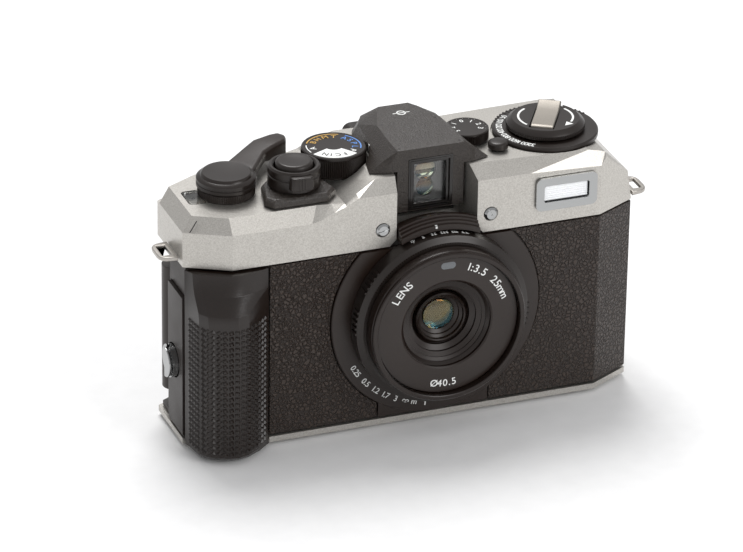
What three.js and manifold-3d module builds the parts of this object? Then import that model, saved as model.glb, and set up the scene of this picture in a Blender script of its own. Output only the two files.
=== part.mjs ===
// Half frame camera: a compact fixed-lens film camera that takes two upright pictures on each 35 mm frame.
// Units are millimetres. +X is the viewer's right when facing the lens, the lens looks along -Y, +Z is up.
// The origin is on the underside of the tripod pad, in the middle of the body's width and depth.
import * as THREE from 'three';
import { mergeVertices } from 'three/addons/utils/BufferGeometryUtils.js';
import Module from 'manifold-3d';

// Driving dimensions: body
const bodyWidth = 126.4;
const bodyDepth = 38;
const frontCorner = { x: 11.6, y: 6.2 };
const hingeCorner = { x: 20.8, y: 11.3 };
const latchCorner = { x: 9.2, y: 9 };
const padHeight = 1.0;
const baseThickness = 1.6;
const castingHeight = 50.1;
const castingWall = 2.2;
const skinThickness = 0.9;
const gap = 0.3;
const runningGap = 0.4;

// Driving dimensions: top cover, heights measured from the cover's lower edge
const coverWall = 1.5;
const shoulderEdge = 9.9;
const shoulderTop = 13.7;
const deckEdge = 15.2;
const deckTop = 18.4;
const bevelInset = 3;

// Driving dimensions: lens
const lensX = 5.1;
const lensHeight = 32.4;
const plateRadius = 29.4;
const focusRadius = 24.2;
const focusInner = 20.9;
const focusDepth = 5.2;
const rimRadius = 21.7;
const rimDepth = 4.1;
const nameRingOuter = 19.6;
const nameRingInner = 12.3;
const barrelOuter = 20.4;
const barrelWall = 1.2;

// Driving dimensions: finder
const notchHalfWidth = 11.35;
const notchDepth = 8.8;
const notchTaper = 1.7;
const hoodSetback = 5.3;
const hoodTop = 24.7;
const hoodRoofHalf = 9.4;
const hoodWingHalf = 16.8;

// Driving dimensions: controls
const leverDiscRadius = 7.92;
const leverReach = 27.6;
const leverRest = 35.5;
const collarRadius = 6.95;
const buttonRadius = 4.94;
const modeDialRadius = 8.7;
const exposureDialRadius = 6.0;
const speedRingRadius = 14.15;
const rewindKnobRadius = 10.45;
const crankTurn = 31;
const crankHalf = 3.1;
const crankBack = 6.6;
const crankBend = 3.2;
const crankTip = 7.6;
const crankRise = 1.6;
const gripDepth = 8;

// Driving dimensions: film path
const cartridgeRadius = 12.9;
const takeUpRadius = 10.6;
const gateWidth = 17;
const gateHeight = 24;
const doorThickness = 2.6;
const hingeRadius = 3.3;
const pinRadius = 1.0;
const batteryRadius = 7.8;
const batteryLength = 27;

// Places worked out from the driving dimensions
const endX = bodyWidth / 2;
const frontY = -bodyDepth / 2;
const backY = bodyDepth / 2;
const baseBottom = padHeight;
const castBottom = padHeight + baseThickness + gap;
const castTop = castBottom + castingHeight;
const coverBottom = castTop + gap;
const deckZ = coverBottom + deckTop;
const shoulderZ = coverBottom + shoulderTop;
const plateFront = frontY - 0.6;

// Control positions: left-hand controls keep their distance from the left end, right-hand ones from the right end
const lever = { x: -endX + 15.9, y: -1.4 };
const release = { x: -endX + 32.6, y: -7.1 };
const modeDial = { x: -endX + 46.5, y: 0.9 };
const exposureDial = { x: endX - 42.6, y: 0.3 };
const rewind = { x: endX - 20.7, y: -1.5 };
const hingePin = { x: -endX + hingeRadius + 0.1, y: backY - hingeCorner.y - 3.3 };
const takeUp = { x: -endX + 20.4, y: 5.2 };
const sprocket = { x: -endX + 40.2, y: 9.2 };
const battery = { x: -endX + 10.4, y: frontY + 6.8 };
const filmPlaneY = backY - doorThickness - 2.4;

const wasm = await Module();
wasm.setup();
const camera = new THREE.Group();

// ---------------------------------------------------------------------------------------------------------------
// Shape helpers

/** Make a closed three.js geometry into a solid for joining and cutting,
  with its faces pointing outwards. */
function solid(geometry) {
  const bare = new THREE.BufferGeometry();
  bare.setAttribute('position', geometry.attributes.position.clone());
  if (geometry.index) bare.setIndex(geometry.index.clone());
  const merged = mergeVertices(bare, 1e-4);
  const points = merged.attributes.position.array;
  const source = merged.index.array;
  const triangles = [];
  const a = new THREE.Vector3();
  const b = new THREE.Vector3();
  const c = new THREE.Vector3();
  let volume = 0;
  for (let i = 0; i < source.length; i += 3) {
    const [p, q, r] = [source[i], source[i + 1], source[i + 2]];
    if (p === q || q === r || r === p) continue;
    triangles.push(p, q, r);
    a.fromArray(points, 3 * p);
    b.fromArray(points, 3 * q);
    c.fromArray(points, 3 * r);
    volume += a.dot(b.cross(c));
  }
  if (volume < 0) triangles.reverse();
  const mesh = new wasm.Mesh({
    numProp: 3,
    vertProperties: Float32Array.from(points),
    triVerts: Uint32Array.from(triangles),
  });
  return new wasm.Manifold(mesh);
}

/** Join solids into one. */
const join = (first, ...rest) => rest.reduce((sum, next) => sum.add(next), first);

/** Cut solids away from the first one. */
const cut = (first, ...rest) => rest.reduce((sum, next) => sum.subtract(next), first);

/** Turn [u, v] pairs into a closed flat shape. */
const outlineShape = (points) => new THREE.Shape(points.map(([u, v]) => new THREE.Vector2(u, v)));

/** A rectangle with rounded corners, centred at (u, v). */
function roundedRectangle(u, v, width, height, radius) {
  const shape = new THREE.Shape();
  const [left, right, low, high] = [u - width / 2, u + width / 2, v - height / 2, v + height / 2];
  shape.moveTo(left + radius, low);
  shape.lineTo(right - radius, low);
  shape.absarc(right - radius, low + radius, radius, -Math.PI / 2, 0);
  shape.lineTo(right, high - radius);
  shape.absarc(right - radius, high - radius, radius, 0, Math.PI / 2);
  shape.lineTo(left + radius, high);
  shape.absarc(left + radius, high - radius, radius, Math.PI / 2, Math.PI);
  shape.lineTo(left, low + radius);
  shape.absarc(left + radius, low + radius, radius, Math.PI, 1.5 * Math.PI);
  return shape;
}

const axisFrames = {
  x: [new THREE.Vector3(0, 1, 0), new THREE.Vector3(0, 0, 1), new THREE.Vector3(1, 0, 0)],
  y: [new THREE.Vector3(1, 0, 0), new THREE.Vector3(0, 0, 1), new THREE.Vector3(0, -1, 0)],
  z: [new THREE.Vector3(1, 0, 0), new THREE.Vector3(0, 1, 0), new THREE.Vector3(0, 0, 1)],
};

/** Extrude a flat shape along an axis. Its own u, v are (y, z) for x, (x, z) for y and (x, y) for z. */
function prism(shape, axis, from, to, curveSegments = 3) {
  const geometry = new THREE.ExtrudeGeometry(shape,
    { depth: to - from, bevelEnabled: false, curveSegments });
  if (axis === 'y') geometry.translate(0, 0, -to);
  else geometry.translate(0, 0, from);
  geometry.applyMatrix4(new THREE.Matrix4().makeBasis(...axisFrames[axis]));
  return solid(geometry);
}

/** A box between two values along each axis. */
function block([x0, x1], [y0, y1], [z0, z1]) {
  const geometry = new THREE.BoxGeometry(x1 - x0, y1 - y0, z1 - z0);
  geometry.translate((x0 + x1) / 2, (y0 + y1) / 2, (z0 + z1) / 2);
  return solid(geometry);
}

/** A round bar along an axis, from one value to another, centred at u, v in the plane across it. */
function rod(axis, radius, from, to, [u, v], segments = 24) {
  const geometry = new THREE.CylinderGeometry(radius, radius, to - from, segments);
  const middle = (from + to) / 2;
  if (axis === 'x') geometry.rotateZ(-Math.PI / 2).translate(middle, u, v);
  if (axis === 'y') geometry.translate(u, middle, v);
  if (axis === 'z') geometry.rotateX(Math.PI / 2).translate(u, v, middle);
  return solid(geometry);
}

/** Turn a profile of [radius, height] pairs about an upright axis. */
function turned(profile, { x, y }, segments = 28) {
  const points = profile.map(([radius, height]) => new THREE.Vector2(radius, height));
  return solid(new THREE.LatheGeometry(points, segments).rotateX(Math.PI / 2).translate(x, y, 0));
}

/** Turn a profile of [radius, y] pairs about the lens axis. */
function turnedOnLens(profile, segments = 28) {
  const points = profile.map(([radius, depth]) => new THREE.Vector2(radius, depth));
  return solid(new THREE.LatheGeometry(points, segments).translate(lensX, 0, lensHeight));
}

/** A ring about the lens axis with a rectangular section. */
const lensRing = (inner, outer, front, back, segments = 32) => turnedOnLens(
  [[inner, front], [outer, front], [outer, back], [inner, back], [inner, front]], segments);

/** A pin about an upright axis with a rectangular section, with a hole when inner is above zero. */
const uprightRing = (inner, outer, low, high, place, segments = 28) => turned(
  [[inner, low], [outer, low], [outer, high], [inner, high], [inner, low]], place, segments);

/** Skin a closed solid through sections that all have the same number of points, each section convex. */
function loft(sections) {
  const count = sections[0].length;
  const positions = sections.flat().flatMap(([x, y, z]) => [x, y, z]);
  const index = [];
  for (let s = 0; s + 1 < sections.length; s += 1) {
    for (let i = 0; i < count; i += 1) {
      const j = (i + 1) % count;
      const [low, high] = [s * count, (s + 1) * count];
      index.push(low + i, low + j, high + j, low + i, high + j, high + i);
    }
  }
  const last = (sections.length - 1) * count;
  for (let i = 1; i + 1 < count; i += 1) {
    index.push(0, i + 1, i, last, last + i, last + i + 1);
  }
  const geometry = new THREE.BufferGeometry();
  geometry.setAttribute('position', new THREE.Float32BufferAttribute(positions, 3));
  geometry.setIndex(index);
  return solid(geometry);
}

/** Move every edge of a convex anticlockwise outline inwards by the same distance. */
function inset(points, distance) {
  const lines = points.map(([x, y], i) => {
    const [nextX, nextY] = points[(i + 1) % points.length];
    const length = Math.hypot(nextX - x, nextY - y);
    const [dx, dy] = [(nextX - x) / length, (nextY - y) / length];
    return { x: x - dy * distance, y: y + dx * distance, dx, dy };
  });
  return lines.map((line, i) => {
    const before = lines[(i + lines.length - 1) % lines.length];
    const turn = before.dx * line.dy - before.dy * line.dx;
    const along = ((line.x - before.x) * line.dy - (line.y - before.y) * line.dx) / turn;
    return [before.x + before.dx * along, before.y + before.dy * along];
  });
}

/** Add a finished sub-part to the camera as a named mesh. */
function piece(name, body, material) {
  const mesh = body.getMesh();
  const geometry = new THREE.BufferGeometry();
  geometry.setAttribute('position', new THREE.BufferAttribute(Float32Array.from(mesh.vertProperties), 3));
  geometry.setIndex(new THREE.BufferAttribute(Uint32Array.from(mesh.triVerts), 1));
  const part = new THREE.Mesh(geometry, material.clone());
  part.name = name;
  camera.add(part);
}

/** A plain finish. */
const finish = (color, roughness, metalness) => new THREE.MeshStandardMaterial({ color, roughness,
  metalness });
const satinSilver = finish('#c8c4be', 0.42, 0.7);
const blackPaint = finish('#2b2725', 0.45, 0.1);
const blackPlastic = finish('#25211f', 0.6, 0);
const leatherette = finish('#2a2624', 0.85, 0);
const rubber = finish('#221e1c', 0.8, 0);
const chrome = finish('#d8d8d8', 0.15, 1);
const steel = finish('#a9a9a9', 0.3, 1);
const glass = finish('#8fa39a', 0.05, 0);
const innerMetal = finish('#5d5a58', 0.5, 0.8);
const greenBoard = finish('#24503a', 0.6, 0);
const whitePlastic = finish('#dcdad4', 0.5, 0);
const brass = finish('#b08d4a', 0.35, 1);

// ---------------------------------------------------------------------------------------------------------------
// Outline of the body seen from above, anticlockwise from the front left corner
const outline = [
  [-endX + frontCorner.x, frontY], [endX - frontCorner.x, frontY],
  [endX, frontY + frontCorner.y], [endX, backY - latchCorner.y],
  [endX - latchCorner.x, backY], [-endX + hingeCorner.x, backY],
  [-endX, backY - hingeCorner.y], [-endX, frontY + frontCorner.y],
];

/** Upright prism of the body outline moved inwards. */
const bodyPrism = (distance, low, high) => prism(outlineShape(inset(outline, distance)), 'z', low, high);

/** Where the body outline's front or back edge runs at a given x, moved inwards. */
function outlineY(x, distance, side) {
  const moved = inset(outline, distance);
  const crossings = moved.map(([x0, y0], i) => {
    const [x1, y1] = moved[(i + 1) % moved.length];
    const share = (x - x0) / (x1 - x0);
    return share >= 0 && share <= 1 ? y0 + (y1 - y0) * share : null;
  }).filter((y) => y !== null && Number.isFinite(y));
  return side === 'front' ? Math.min(...crossings) : Math.max(...crossings);
}

// ---------------------------------------------------------------------------------------------------------------
// Top cover: stations along the width, each with the height of its front bevel edge and of its top face
const coverStations = [
  { x: -endX, edge: shoulderEdge, top: shoulderEdge + 0.01, inset: 2.4 },
  { x: -endX + bevelInset, edge: shoulderEdge, top: shoulderTop, inset: bevelInset },
  { x: -endX + frontCorner.x, edge: shoulderEdge, top: shoulderTop, inset: bevelInset },
  { x: -endX + 33.5, edge: shoulderEdge + 0.1, top: shoulderTop, inset: bevelInset },
  { x: -endX + 35.6, edge: shoulderEdge + 0.6, top: shoulderTop, inset: bevelInset },
  { x: -endX + 39.7, edge: shoulderTop - 1.4, top: shoulderTop, inset: bevelInset - 0.6 },
  { x: -endX + 42.9, edge: shoulderTop - 0.2, top: shoulderTop + 0.05, inset: bevelInset - 1.6 },
  { x: -endX + 46.3, edge: shoulderTop + 1.6, top: shoulderTop + 2.2, inset: bevelInset - 1.2 },
  { x: -endX + 52, edge: deckEdge, top: deckTop, inset: bevelInset + 0.6 },
  { x: lensX + notchHalfWidth, edge: deckEdge, top: deckTop, inset: bevelInset + 1.4 },
  { x: endX - 32, edge: deckEdge - 0.1, top: deckTop, inset: bevelInset + 0.5 },
  { x: endX - frontCorner.x - 3, edge: deckEdge - 0.8, top: deckTop - 0.1, inset: bevelInset - 0.6 },
  { x: endX - frontCorner.x, edge: deckEdge - 1, top: deckTop - 0.6, inset: bevelInset - 1.0 },
  { x: endX - frontCorner.x + 1.6, edge: deckTop - 2, top: deckTop - 1, inset: bevelInset - 2.2 },
  { x: endX - 1.6, edge: shoulderEdge - 1, top: shoulderEdge - 0.95, inset: bevelInset - 2.2 },
  { x: endX, edge: 0.5, top: 0.55, inset: bevelInset - 2.2 },
];

/** Loft of the cover's outside, or of its inside when wall is above zero. */
function coverBlock(wall) {
  const bottom = coverBottom - (wall > 0 ? 1 : 0);
  const sections = coverStations.map((station, i) => {
    const x = station.x + (i === 0 ? wall : 0) - (i === coverStations.length - 1 ? wall : 0);
    const front = outlineY(x, wall, 'front');
    const back = outlineY(x, wall, 'back');
    const edge = coverBottom + station.edge - wall;
    const top = coverBottom + station.top - wall;
    return [
      [x, front, bottom], [x, front, edge], [x, front + station.inset, top],
      [x, back - station.inset * 0.7, top], [x, back, edge], [x, back, bottom],
    ];
  });
  return loft(sections);
}

/** How much narrower the finder notch is at a given depth than at the front. */
const notchNarrowing = (y) => (y - frontY) * notchTaper / notchDepth;

/** The finder notch between the two silver panels, grown on every side by a margin. */
function notch(margin) {
  const section = (y) => {
    const half = notchHalfWidth - notchNarrowing(y) + margin;
    const flare = half + 2.2;
    return [
      [lensX - flare, y, coverBottom - 1.5], [lensX + flare, y, coverBottom - 1.5],
      [lensX + flare, y, coverBottom - 0.4 + margin], [lensX + half, y, coverBottom + 1.8 + margin],
      [lensX + half, y, deckZ + 3], [lensX - half, y, deckZ + 3],
      [lensX - half, y, coverBottom + 1.8 + margin], [lensX - flare, y, coverBottom - 0.4 + margin],
    ];
  };
  return loft([section(frontY - 2), section(frontY + notchDepth + margin)]);
}

const dialFloor = deckZ - 3;
const speedFloor = deckZ - 0.9;
const speedTop = deckZ + 1.0;
const finderWidth = 16;
const finderLow = coverBottom + 4.2;
const finderHigh = deckZ - coverWall - gap;
const finderBack = backY - 5.4;
const eyepieceHalf = { x: 8.6, z: 5.4 };
const eyepieceZ = (finderLow + finderHigh) / 2;
const flash = { x: endX - 21.7, z: coverBottom + 8.6, width: 17.4, height: 9.4 };
const screwRadius = 1.8;
const screwOffset = 15.19;
const screwZ = coverBottom + 5.1;
const counter = { x: -endX + 7.2, y: -1.2, width: 5.2, depth: 8.4 };

{
  const hollow = cut(
    coverBlock(coverWall),
    notch(coverWall),
    rod('z', modeDialRadius + 0.5 + coverWall, dialFloor - coverWall, deckZ + 2, [modeDial.x, modeDial.y]),
    rod('z', speedRingRadius + 0.5 + coverWall, speedFloor - coverWall, deckZ + 2, [rewind.x, rewind.y]),
  );
  const openings = [
    notch(0),
    rod('z', modeDialRadius + 0.5, dialFloor, deckZ + 2, [modeDial.x, modeDial.y], 36),
    rod('z', speedRingRadius + 0.45, speedFloor, deckZ + 2, [rewind.x, rewind.y], 48),
    rod('z', 2.4, coverBottom, deckZ + 2, [lever.x, lever.y], 20),
    rod('z', 3.2, coverBottom, deckZ + 2, [release.x, release.y], 20),
    rod('z', 2.0, coverBottom, deckZ + 2, [modeDial.x, modeDial.y], 20),
    rod('z', 2.0, coverBottom, deckZ + 2, [exposureDial.x, exposureDial.y], 20),
    rod('z', 4.4, coverBottom, deckZ + 2, [rewind.x, rewind.y], 24),
    rod('z', 2.0, coverBottom, deckZ + 2, [endX - 37.1, -8.6], 20),
    block([lensX - finderWidth / 2 - gap, lensX + finderWidth / 2 + gap],
      [frontY + notchDepth - 1, finderBack + gap],
      [finderLow - gap, finderHigh + gap]),
    prism(roundedRectangle(lensX, eyepieceZ, 2 * eyepieceHalf.x, 2 * eyepieceHalf.z, 1.5), 'y', backY - 6,
      backY + 1),
    prism(roundedRectangle(flash.x, flash.z, flash.width - 2.4, flash.height - 2.4, 1.2), 'y', frontY - 1,
      frontY + 4),
    prism(roundedRectangle(counter.x, counter.y, counter.width, counter.depth, 1.2), 'z', coverBottom + 6,
      deckZ),
    ...[-1, 1].map((side) => rod('y', screwRadius + 0.25, frontY - 1, frontY + 0.9,
      [lensX + side * screwOffset, screwZ], 20)),
    ...[-1, 1].map((side) => rod('y', 1.0, frontY - 1, frontY + 4, [lensX + side * screwOffset, screwZ],
      16)),
  ];
  piece('top_cover', cut(coverBlock(0), hollow, ...openings), satinSilver);
}

// Bottom cover: a silver tray plate with the tripod pad under the lens and holes for the socket and the button
const tripod = { x: lensX, y: 7.5 };
const rewindButton = { x: endX - 33, y: 9 };
const baseScrews = [[-endX + 12, 0], [-endX + 30, 13], [endX - 12, 9], [endX - 14, -12]];
const padHalf = { x: 19, y: 14 };
const gripEdgeX = -endX + 21.6;
{
  const plate = bodyPrism(0, baseBottom, baseBottom + baseThickness);
  const pad = prism(roundedRectangle(lensX - 3, 0, 2 * padHalf.x, 2 * padHalf.y, 3), 'z', 0,
    baseBottom + 0.5);
  const holes = [
    rod('z', 6.2, -1, castBottom, [tripod.x, tripod.y], 32),
    rod('z', 2.4, -1, castBottom, [rewindButton.x, rewindButton.y], 20),
    ...baseScrews.map((place) => rod('z', 1.75, -1, baseBottom + 0.9, place, 20)),
    ...baseScrews.map((place) => rod('z', 0.95, -1, castBottom, place, 14)),
  ];
  const underGrip = cut(bodyPrism(-1, 0, castBottom), bodyPrism(skinThickness + 0.1, -1, castBottom + 1))
    .intersect(block([-endX - 2, gripEdgeX + gap], [frontY - 2, frontY + frontCorner.y + 0.6],
      [-1, castBottom + 1]));
  piece('bottom_cover', cut(join(plate, pad), underGrip, ...holes), satinSilver);
  piece('tripod_socket', uprightRing(3.2, 5.9, 0, castBottom + 1.2, tripod, 32), steel);
  piece('rewind_release_button', turned(
    [[0, baseBottom - 0.2], [1.7, baseBottom - 0.2], [1.95, baseBottom], [1.95, castBottom + 1.5],
      [0, castBottom + 1.5]], rewindButton, 20), steel);
}

// ---------------------------------------------------------------------------------------------------------------
// Body casting with the film chamber, take-up chamber, battery well, light tunnel and film gate
const chamberLow = castBottom + castingWall;
const chamberHigh = castTop - castingWall;
const batteryLow = castBottom + 6;
const doorLow = castBottom + 1.6;
const doorHigh = castTop - 1.4;
const doorInner = backY - doorThickness;
const tunnelRadius = 15.4;
const tunnelBack = 4;
const lidY = { front: frontY + frontCorner.y + 0.5, back: frontY + 18.4 };
const lidZ = { low: castBottom + 0.6, high: castBottom + 41 };
const lidThickness = 2;
const latch = { x: endX - 6, y: backY - latchCorner.y - 4.2 };

/** The back strip of the plan that the film door covers, between two insets,
  grown at its ends by a margin. */
function doorStrip(outer, inner, margin, low, high) {
  const ring = cut(bodyPrism(outer, low, high), bodyPrism(inner, low - 1, high + 1));
  const hingeEnd = hingePin.x + 1.2 - margin;
  const reach = join(
    block([hingeEnd, endX + 3], [backY - latchCorner.y + 0.4 - margin, backY + 3], [low - 1, high + 1]),
    block([hingeEnd, -endX + hingeCorner.x], [backY - hingeCorner.y - 1, backY + 3], [low - 1, high + 1]),
  );
  return ring.intersect(reach);
}

// Section of the grip's front: distance from the left end and depth behind the front face
const gripSection = [
  [0.3, 5.5], [0.9, 3.3], [1.6, -2.3], [3.3, -5.1], [7.5, -7.4], [10.6, -8], [13.7, -7.2], [17.6, -4.5],
    [21.3, -0.8]];
const gripCoreTop = castTop - 13;

/** Hard core under the grip's rubber, thinner than the grip by a wall. */
function gripCore(wall) {
  const plan = [
    [-endX + 2.6 + wall * 0.3, frontY + 4], [-endX + 4.2 + wall * 0.4, frontY - 5 + wall],
      [-endX + 8, frontY - 7.4 + wall],
    [-endX + 10.6, frontY - 8 + wall], [-endX + 13.5, frontY - 7.2 + wall],
      [-endX + 17 - wall * 0.3, frontY - 4.6 + wall],
    [-endX + 19 - wall * 0.3, frontY + 2], [-endX + 4, frontY + 8],
  ];
  return prism(outlineShape(plan), 'z', castBottom, gripCoreTop - wall);
}

{
  const shell = join(bodyPrism(skinThickness + 0.1, castBottom, castTop), gripCore(2.2));
  const doorRoom = doorStrip(-2, doorThickness + runningGap, runningGap, doorLow - gap, doorHigh + gap);
  const cavity = [
    doorRoom,
    rod('z', cartridgeRadius, chamberLow, chamberHigh, [rewind.x, rewind.y + 0.7], 32),
    block([rewind.x - cartridgeRadius + 1.5, rewind.x + cartridgeRadius - 1.5], [rewind.y, backY],
      [chamberLow, chamberHigh]),
    rod('z', takeUpRadius, chamberLow, chamberHigh, [takeUp.x, takeUp.y], 28),
    block([takeUp.x - takeUpRadius + 3, takeUp.x + takeUpRadius], [takeUp.y + 2, backY],
      [chamberLow, chamberHigh]),
    rod('z', 5.2, chamberLow, chamberHigh, [sprocket.x, sprocket.y], 28),
    block([sprocket.x - 8, sprocket.x + 5.2], [sprocket.y + 1, backY], [chamberLow, chamberHigh]),
    rod('y', tunnelRadius, frontY - 1, tunnelBack, [lensX, lensHeight], 36),
    prism(roundedRectangle(lensX, lensHeight, gateWidth, gateHeight, 0.8), 'y', tunnelBack - 2, backY),
    block([lensX - 15, lensX + 15], [filmPlaneY + 0.1, backY], [lensHeight - 18.2, lensHeight + 18.2]),
    rod('z', batteryRadius + runningGap, batteryLow, batteryLow + batteryLength + 2, [battery.x, battery.y],
      24),
    block([-endX - 1, battery.x], [battery.y - batteryRadius + 1.4, battery.y + batteryRadius - 1.2],
      [batteryLow, batteryLow + batteryLength + 2]),
    block([-endX - 1, -endX + skinThickness + lidThickness + gap], [lidY.front - gap, lidY.back + gap],
      [lidZ.low - gap, lidZ.high + gap]),
    rod('z', hingeRadius + 0.5, doorLow - gap, doorHigh + gap, [hingePin.x, hingePin.y], 28),
    block([-endX - 1, hingePin.x], [hingePin.y - hingeRadius - 0.5, hingePin.y + 9],
      [doorLow - gap, doorHigh + gap]),
    block([hingePin.x - 0.1, hingePin.x + 4.8], [hingePin.y, hingePin.y + 9],
      [doorLow - gap, doorHigh + gap]),
    rod('z', pinRadius + gap, castBottom + 0.6, castTop + 1, [hingePin.x, hingePin.y], 16),
    rod('z', 5, castTop - castingWall - 1, castTop + 1, [rewind.x, rewind.y], 28),
    rod('z', 2.6, castTop - castingWall - 1, castTop + 1, [takeUp.x, takeUp.y], 20),
    rod('z', 1.6, castTop - castingWall - 1, castTop + 1, [sprocket.x, sprocket.y], 16),
    rod('z', 6.3, castBottom - 1, castBottom + 1.6, [tripod.x, tripod.y], 24),
    rod('z', 2.3, castBottom - 1, castBottom + 2.7, [rewindButton.x, rewindButton.y], 18),
    block([latch.x - 1.7, latch.x + 1.7], [latch.y - 0.4, backY], [lensHeight - 6, castTop + 1]),
    ...baseScrews.map((place) => rod('z', 1.0, castBottom - 1, castBottom + 3.5, place, 14)),
  ];
  piece('body_casting', cut(shell, ...cavity), blackPlastic);
}

// Film door: a bent panel with its hinge barrel, and what it carries
const doorBarrelLow = castBottom + 7;
const doorBarrelHigh = castTop - 7;
const plateHalf = { x: 13.6, z: 17 };
const plateBack = doorInner - 1.1;
{
  const panel = doorStrip(0, doorThickness, 0, doorLow, doorHigh);
  const barrel = rod('z', hingeRadius, doorBarrelLow, doorBarrelHigh, [hingePin.x, hingePin.y], 28);
  const web = loft([doorBarrelLow, doorBarrelHigh].map((z) => [
    [hingePin.x - 1.6, hingePin.y + 2.2, z], [hingePin.x + 2.2, hingePin.y + 0.4, z],
    [hingePin.x + 4.4, hingePin.y + 4.4, z], [hingePin.x + 2.2, hingePin.y + 5.2, z],
  ]));
  const window = prism(roundedRectangle(rewind.x - 3, lensHeight, 7, 26, 1.5), 'y', doorInner - 1,
    backY + 1);
  const bore = rod('z', pinRadius + 0.1, doorLow - 1, doorHigh + 1, [hingePin.x, hingePin.y], 20);
  const springSeat = rod('y', 2.2, doorInner - 1, doorInner + 0.8, [lensX, lensHeight], 20);
  piece('film_door', cut(join(panel, barrel, web), bore, window, springSeat), blackPaint);
  piece('door_window', prism(roundedRectangle(rewind.x - 3, lensHeight, 6.4, 25.4, 1.2), 'y',
    doorInner + 0.6,
    backY - 0.4), glass);
  piece('pressure_plate', prism(roundedRectangle(lensX, lensHeight, 2 * plateHalf.x, 2 * plateHalf.z, 1),
    'y',
    plateBack - 0.9, plateBack), blackPaint);
  piece('pressure_spring', turned([[0.5, 0], [1.5, 0], [1.5, 1.3], [0.5, 1.3], [0.5, 0]], { x: 0, y: 0 },
    20)
    .rotate([90, 0, 0]).translate([lensX, doorInner + 0.5, lensHeight]), steel);
  piece('hinge_pin', rod('z', pinRadius, castBottom + 0.9, castTop - 0.4, [hingePin.x, hingePin.y], 20),
    steel);
  const holder = cut(
    prism(roundedRectangle(lensX, lensHeight + 1, 40, 30, 2), 'y', backY + gap, backY + 1.7),
    prism(roundedRectangle(lensX, lensHeight + 3, 34, 30, 1.5), 'y', backY + 0.9, backY + 3),
    prism(roundedRectangle(lensX, lensHeight + 1, 24, 18, 3), 'y', backY, backY + 3),
  );
  piece('memo_holder', holder, blackPlastic);
}

// Door latch: a sliding bar in the right-hand wall that rises with the rewind shaft
{
  const bar = block([latch.x - 1.3, latch.x + 1.3], [latch.y, latch.y + 2], [lensHeight - 4, castTop - 4]);
  const hook = block([latch.x - 1.3, latch.x + 1.3], [latch.y, latch.y + 4],
    [lensHeight - 4, lensHeight - 1.5]);
  piece('door_latch', join(bar, hook), steel);
}

// ---------------------------------------------------------------------------------------------------------------
// Coverings of the front and sides
const skinLow = castBottom + 0.4;
const skinHigh = castTop - 0.2;
const skin = () => cut(bodyPrism(0, skinLow, skinHigh),
  bodyPrism(skinThickness - gap + 0.1, skinLow - 1, skinHigh + 1));
const plateDisc = (margin) => rod('y', plateRadius + margin, frontY - 4, frontY + 4, [lensX, lensHeight],
  56);
const baseTab = (margin) => block([lensX - 15.8 - margin, lensX + 15.5 + margin], [frontY - 4, frontY + 4],
  [castBottom - 2, castBottom + 5 + margin]);

piece('leather_left', cut(
  skin().intersect(block([gripEdgeX + gap, lensX - 2], [frontY - 4, frontY + 4], [0, castTop + 5])),
  plateDisc(gap), baseTab(gap)), leatherette);
piece('leather_right', cut(
  skin().intersect(block([lensX + 2, endX + 1], [frontY - 4, backY - latchCorner.y - 0.8],
    [0, castTop + 5])),
  plateDisc(gap), baseTab(gap)), leatherette);

{
  const disc = rod('y', plateRadius, plateFront, frontY + skinThickness - gap, [lensX, lensHeight], 48);
  const tab = block([lensX - 15.8, lensX + 15.5], [frontY - 0.1, frontY + skinThickness - gap],
    [castBottom + 0.2, castBottom + 5]);
  const limits = block([-endX, endX], [frontY - 3, frontY + 3], [castBottom + 0.2, castTop - 0.2]);
  const bore = rod('y', barrelOuter + 0.5, frontY - 3, frontY + 3, [lensX, lensHeight], 32);
  piece('mount_plate', cut(join(disc, tab).intersect(limits), bore), blackPaint);
}

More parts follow.
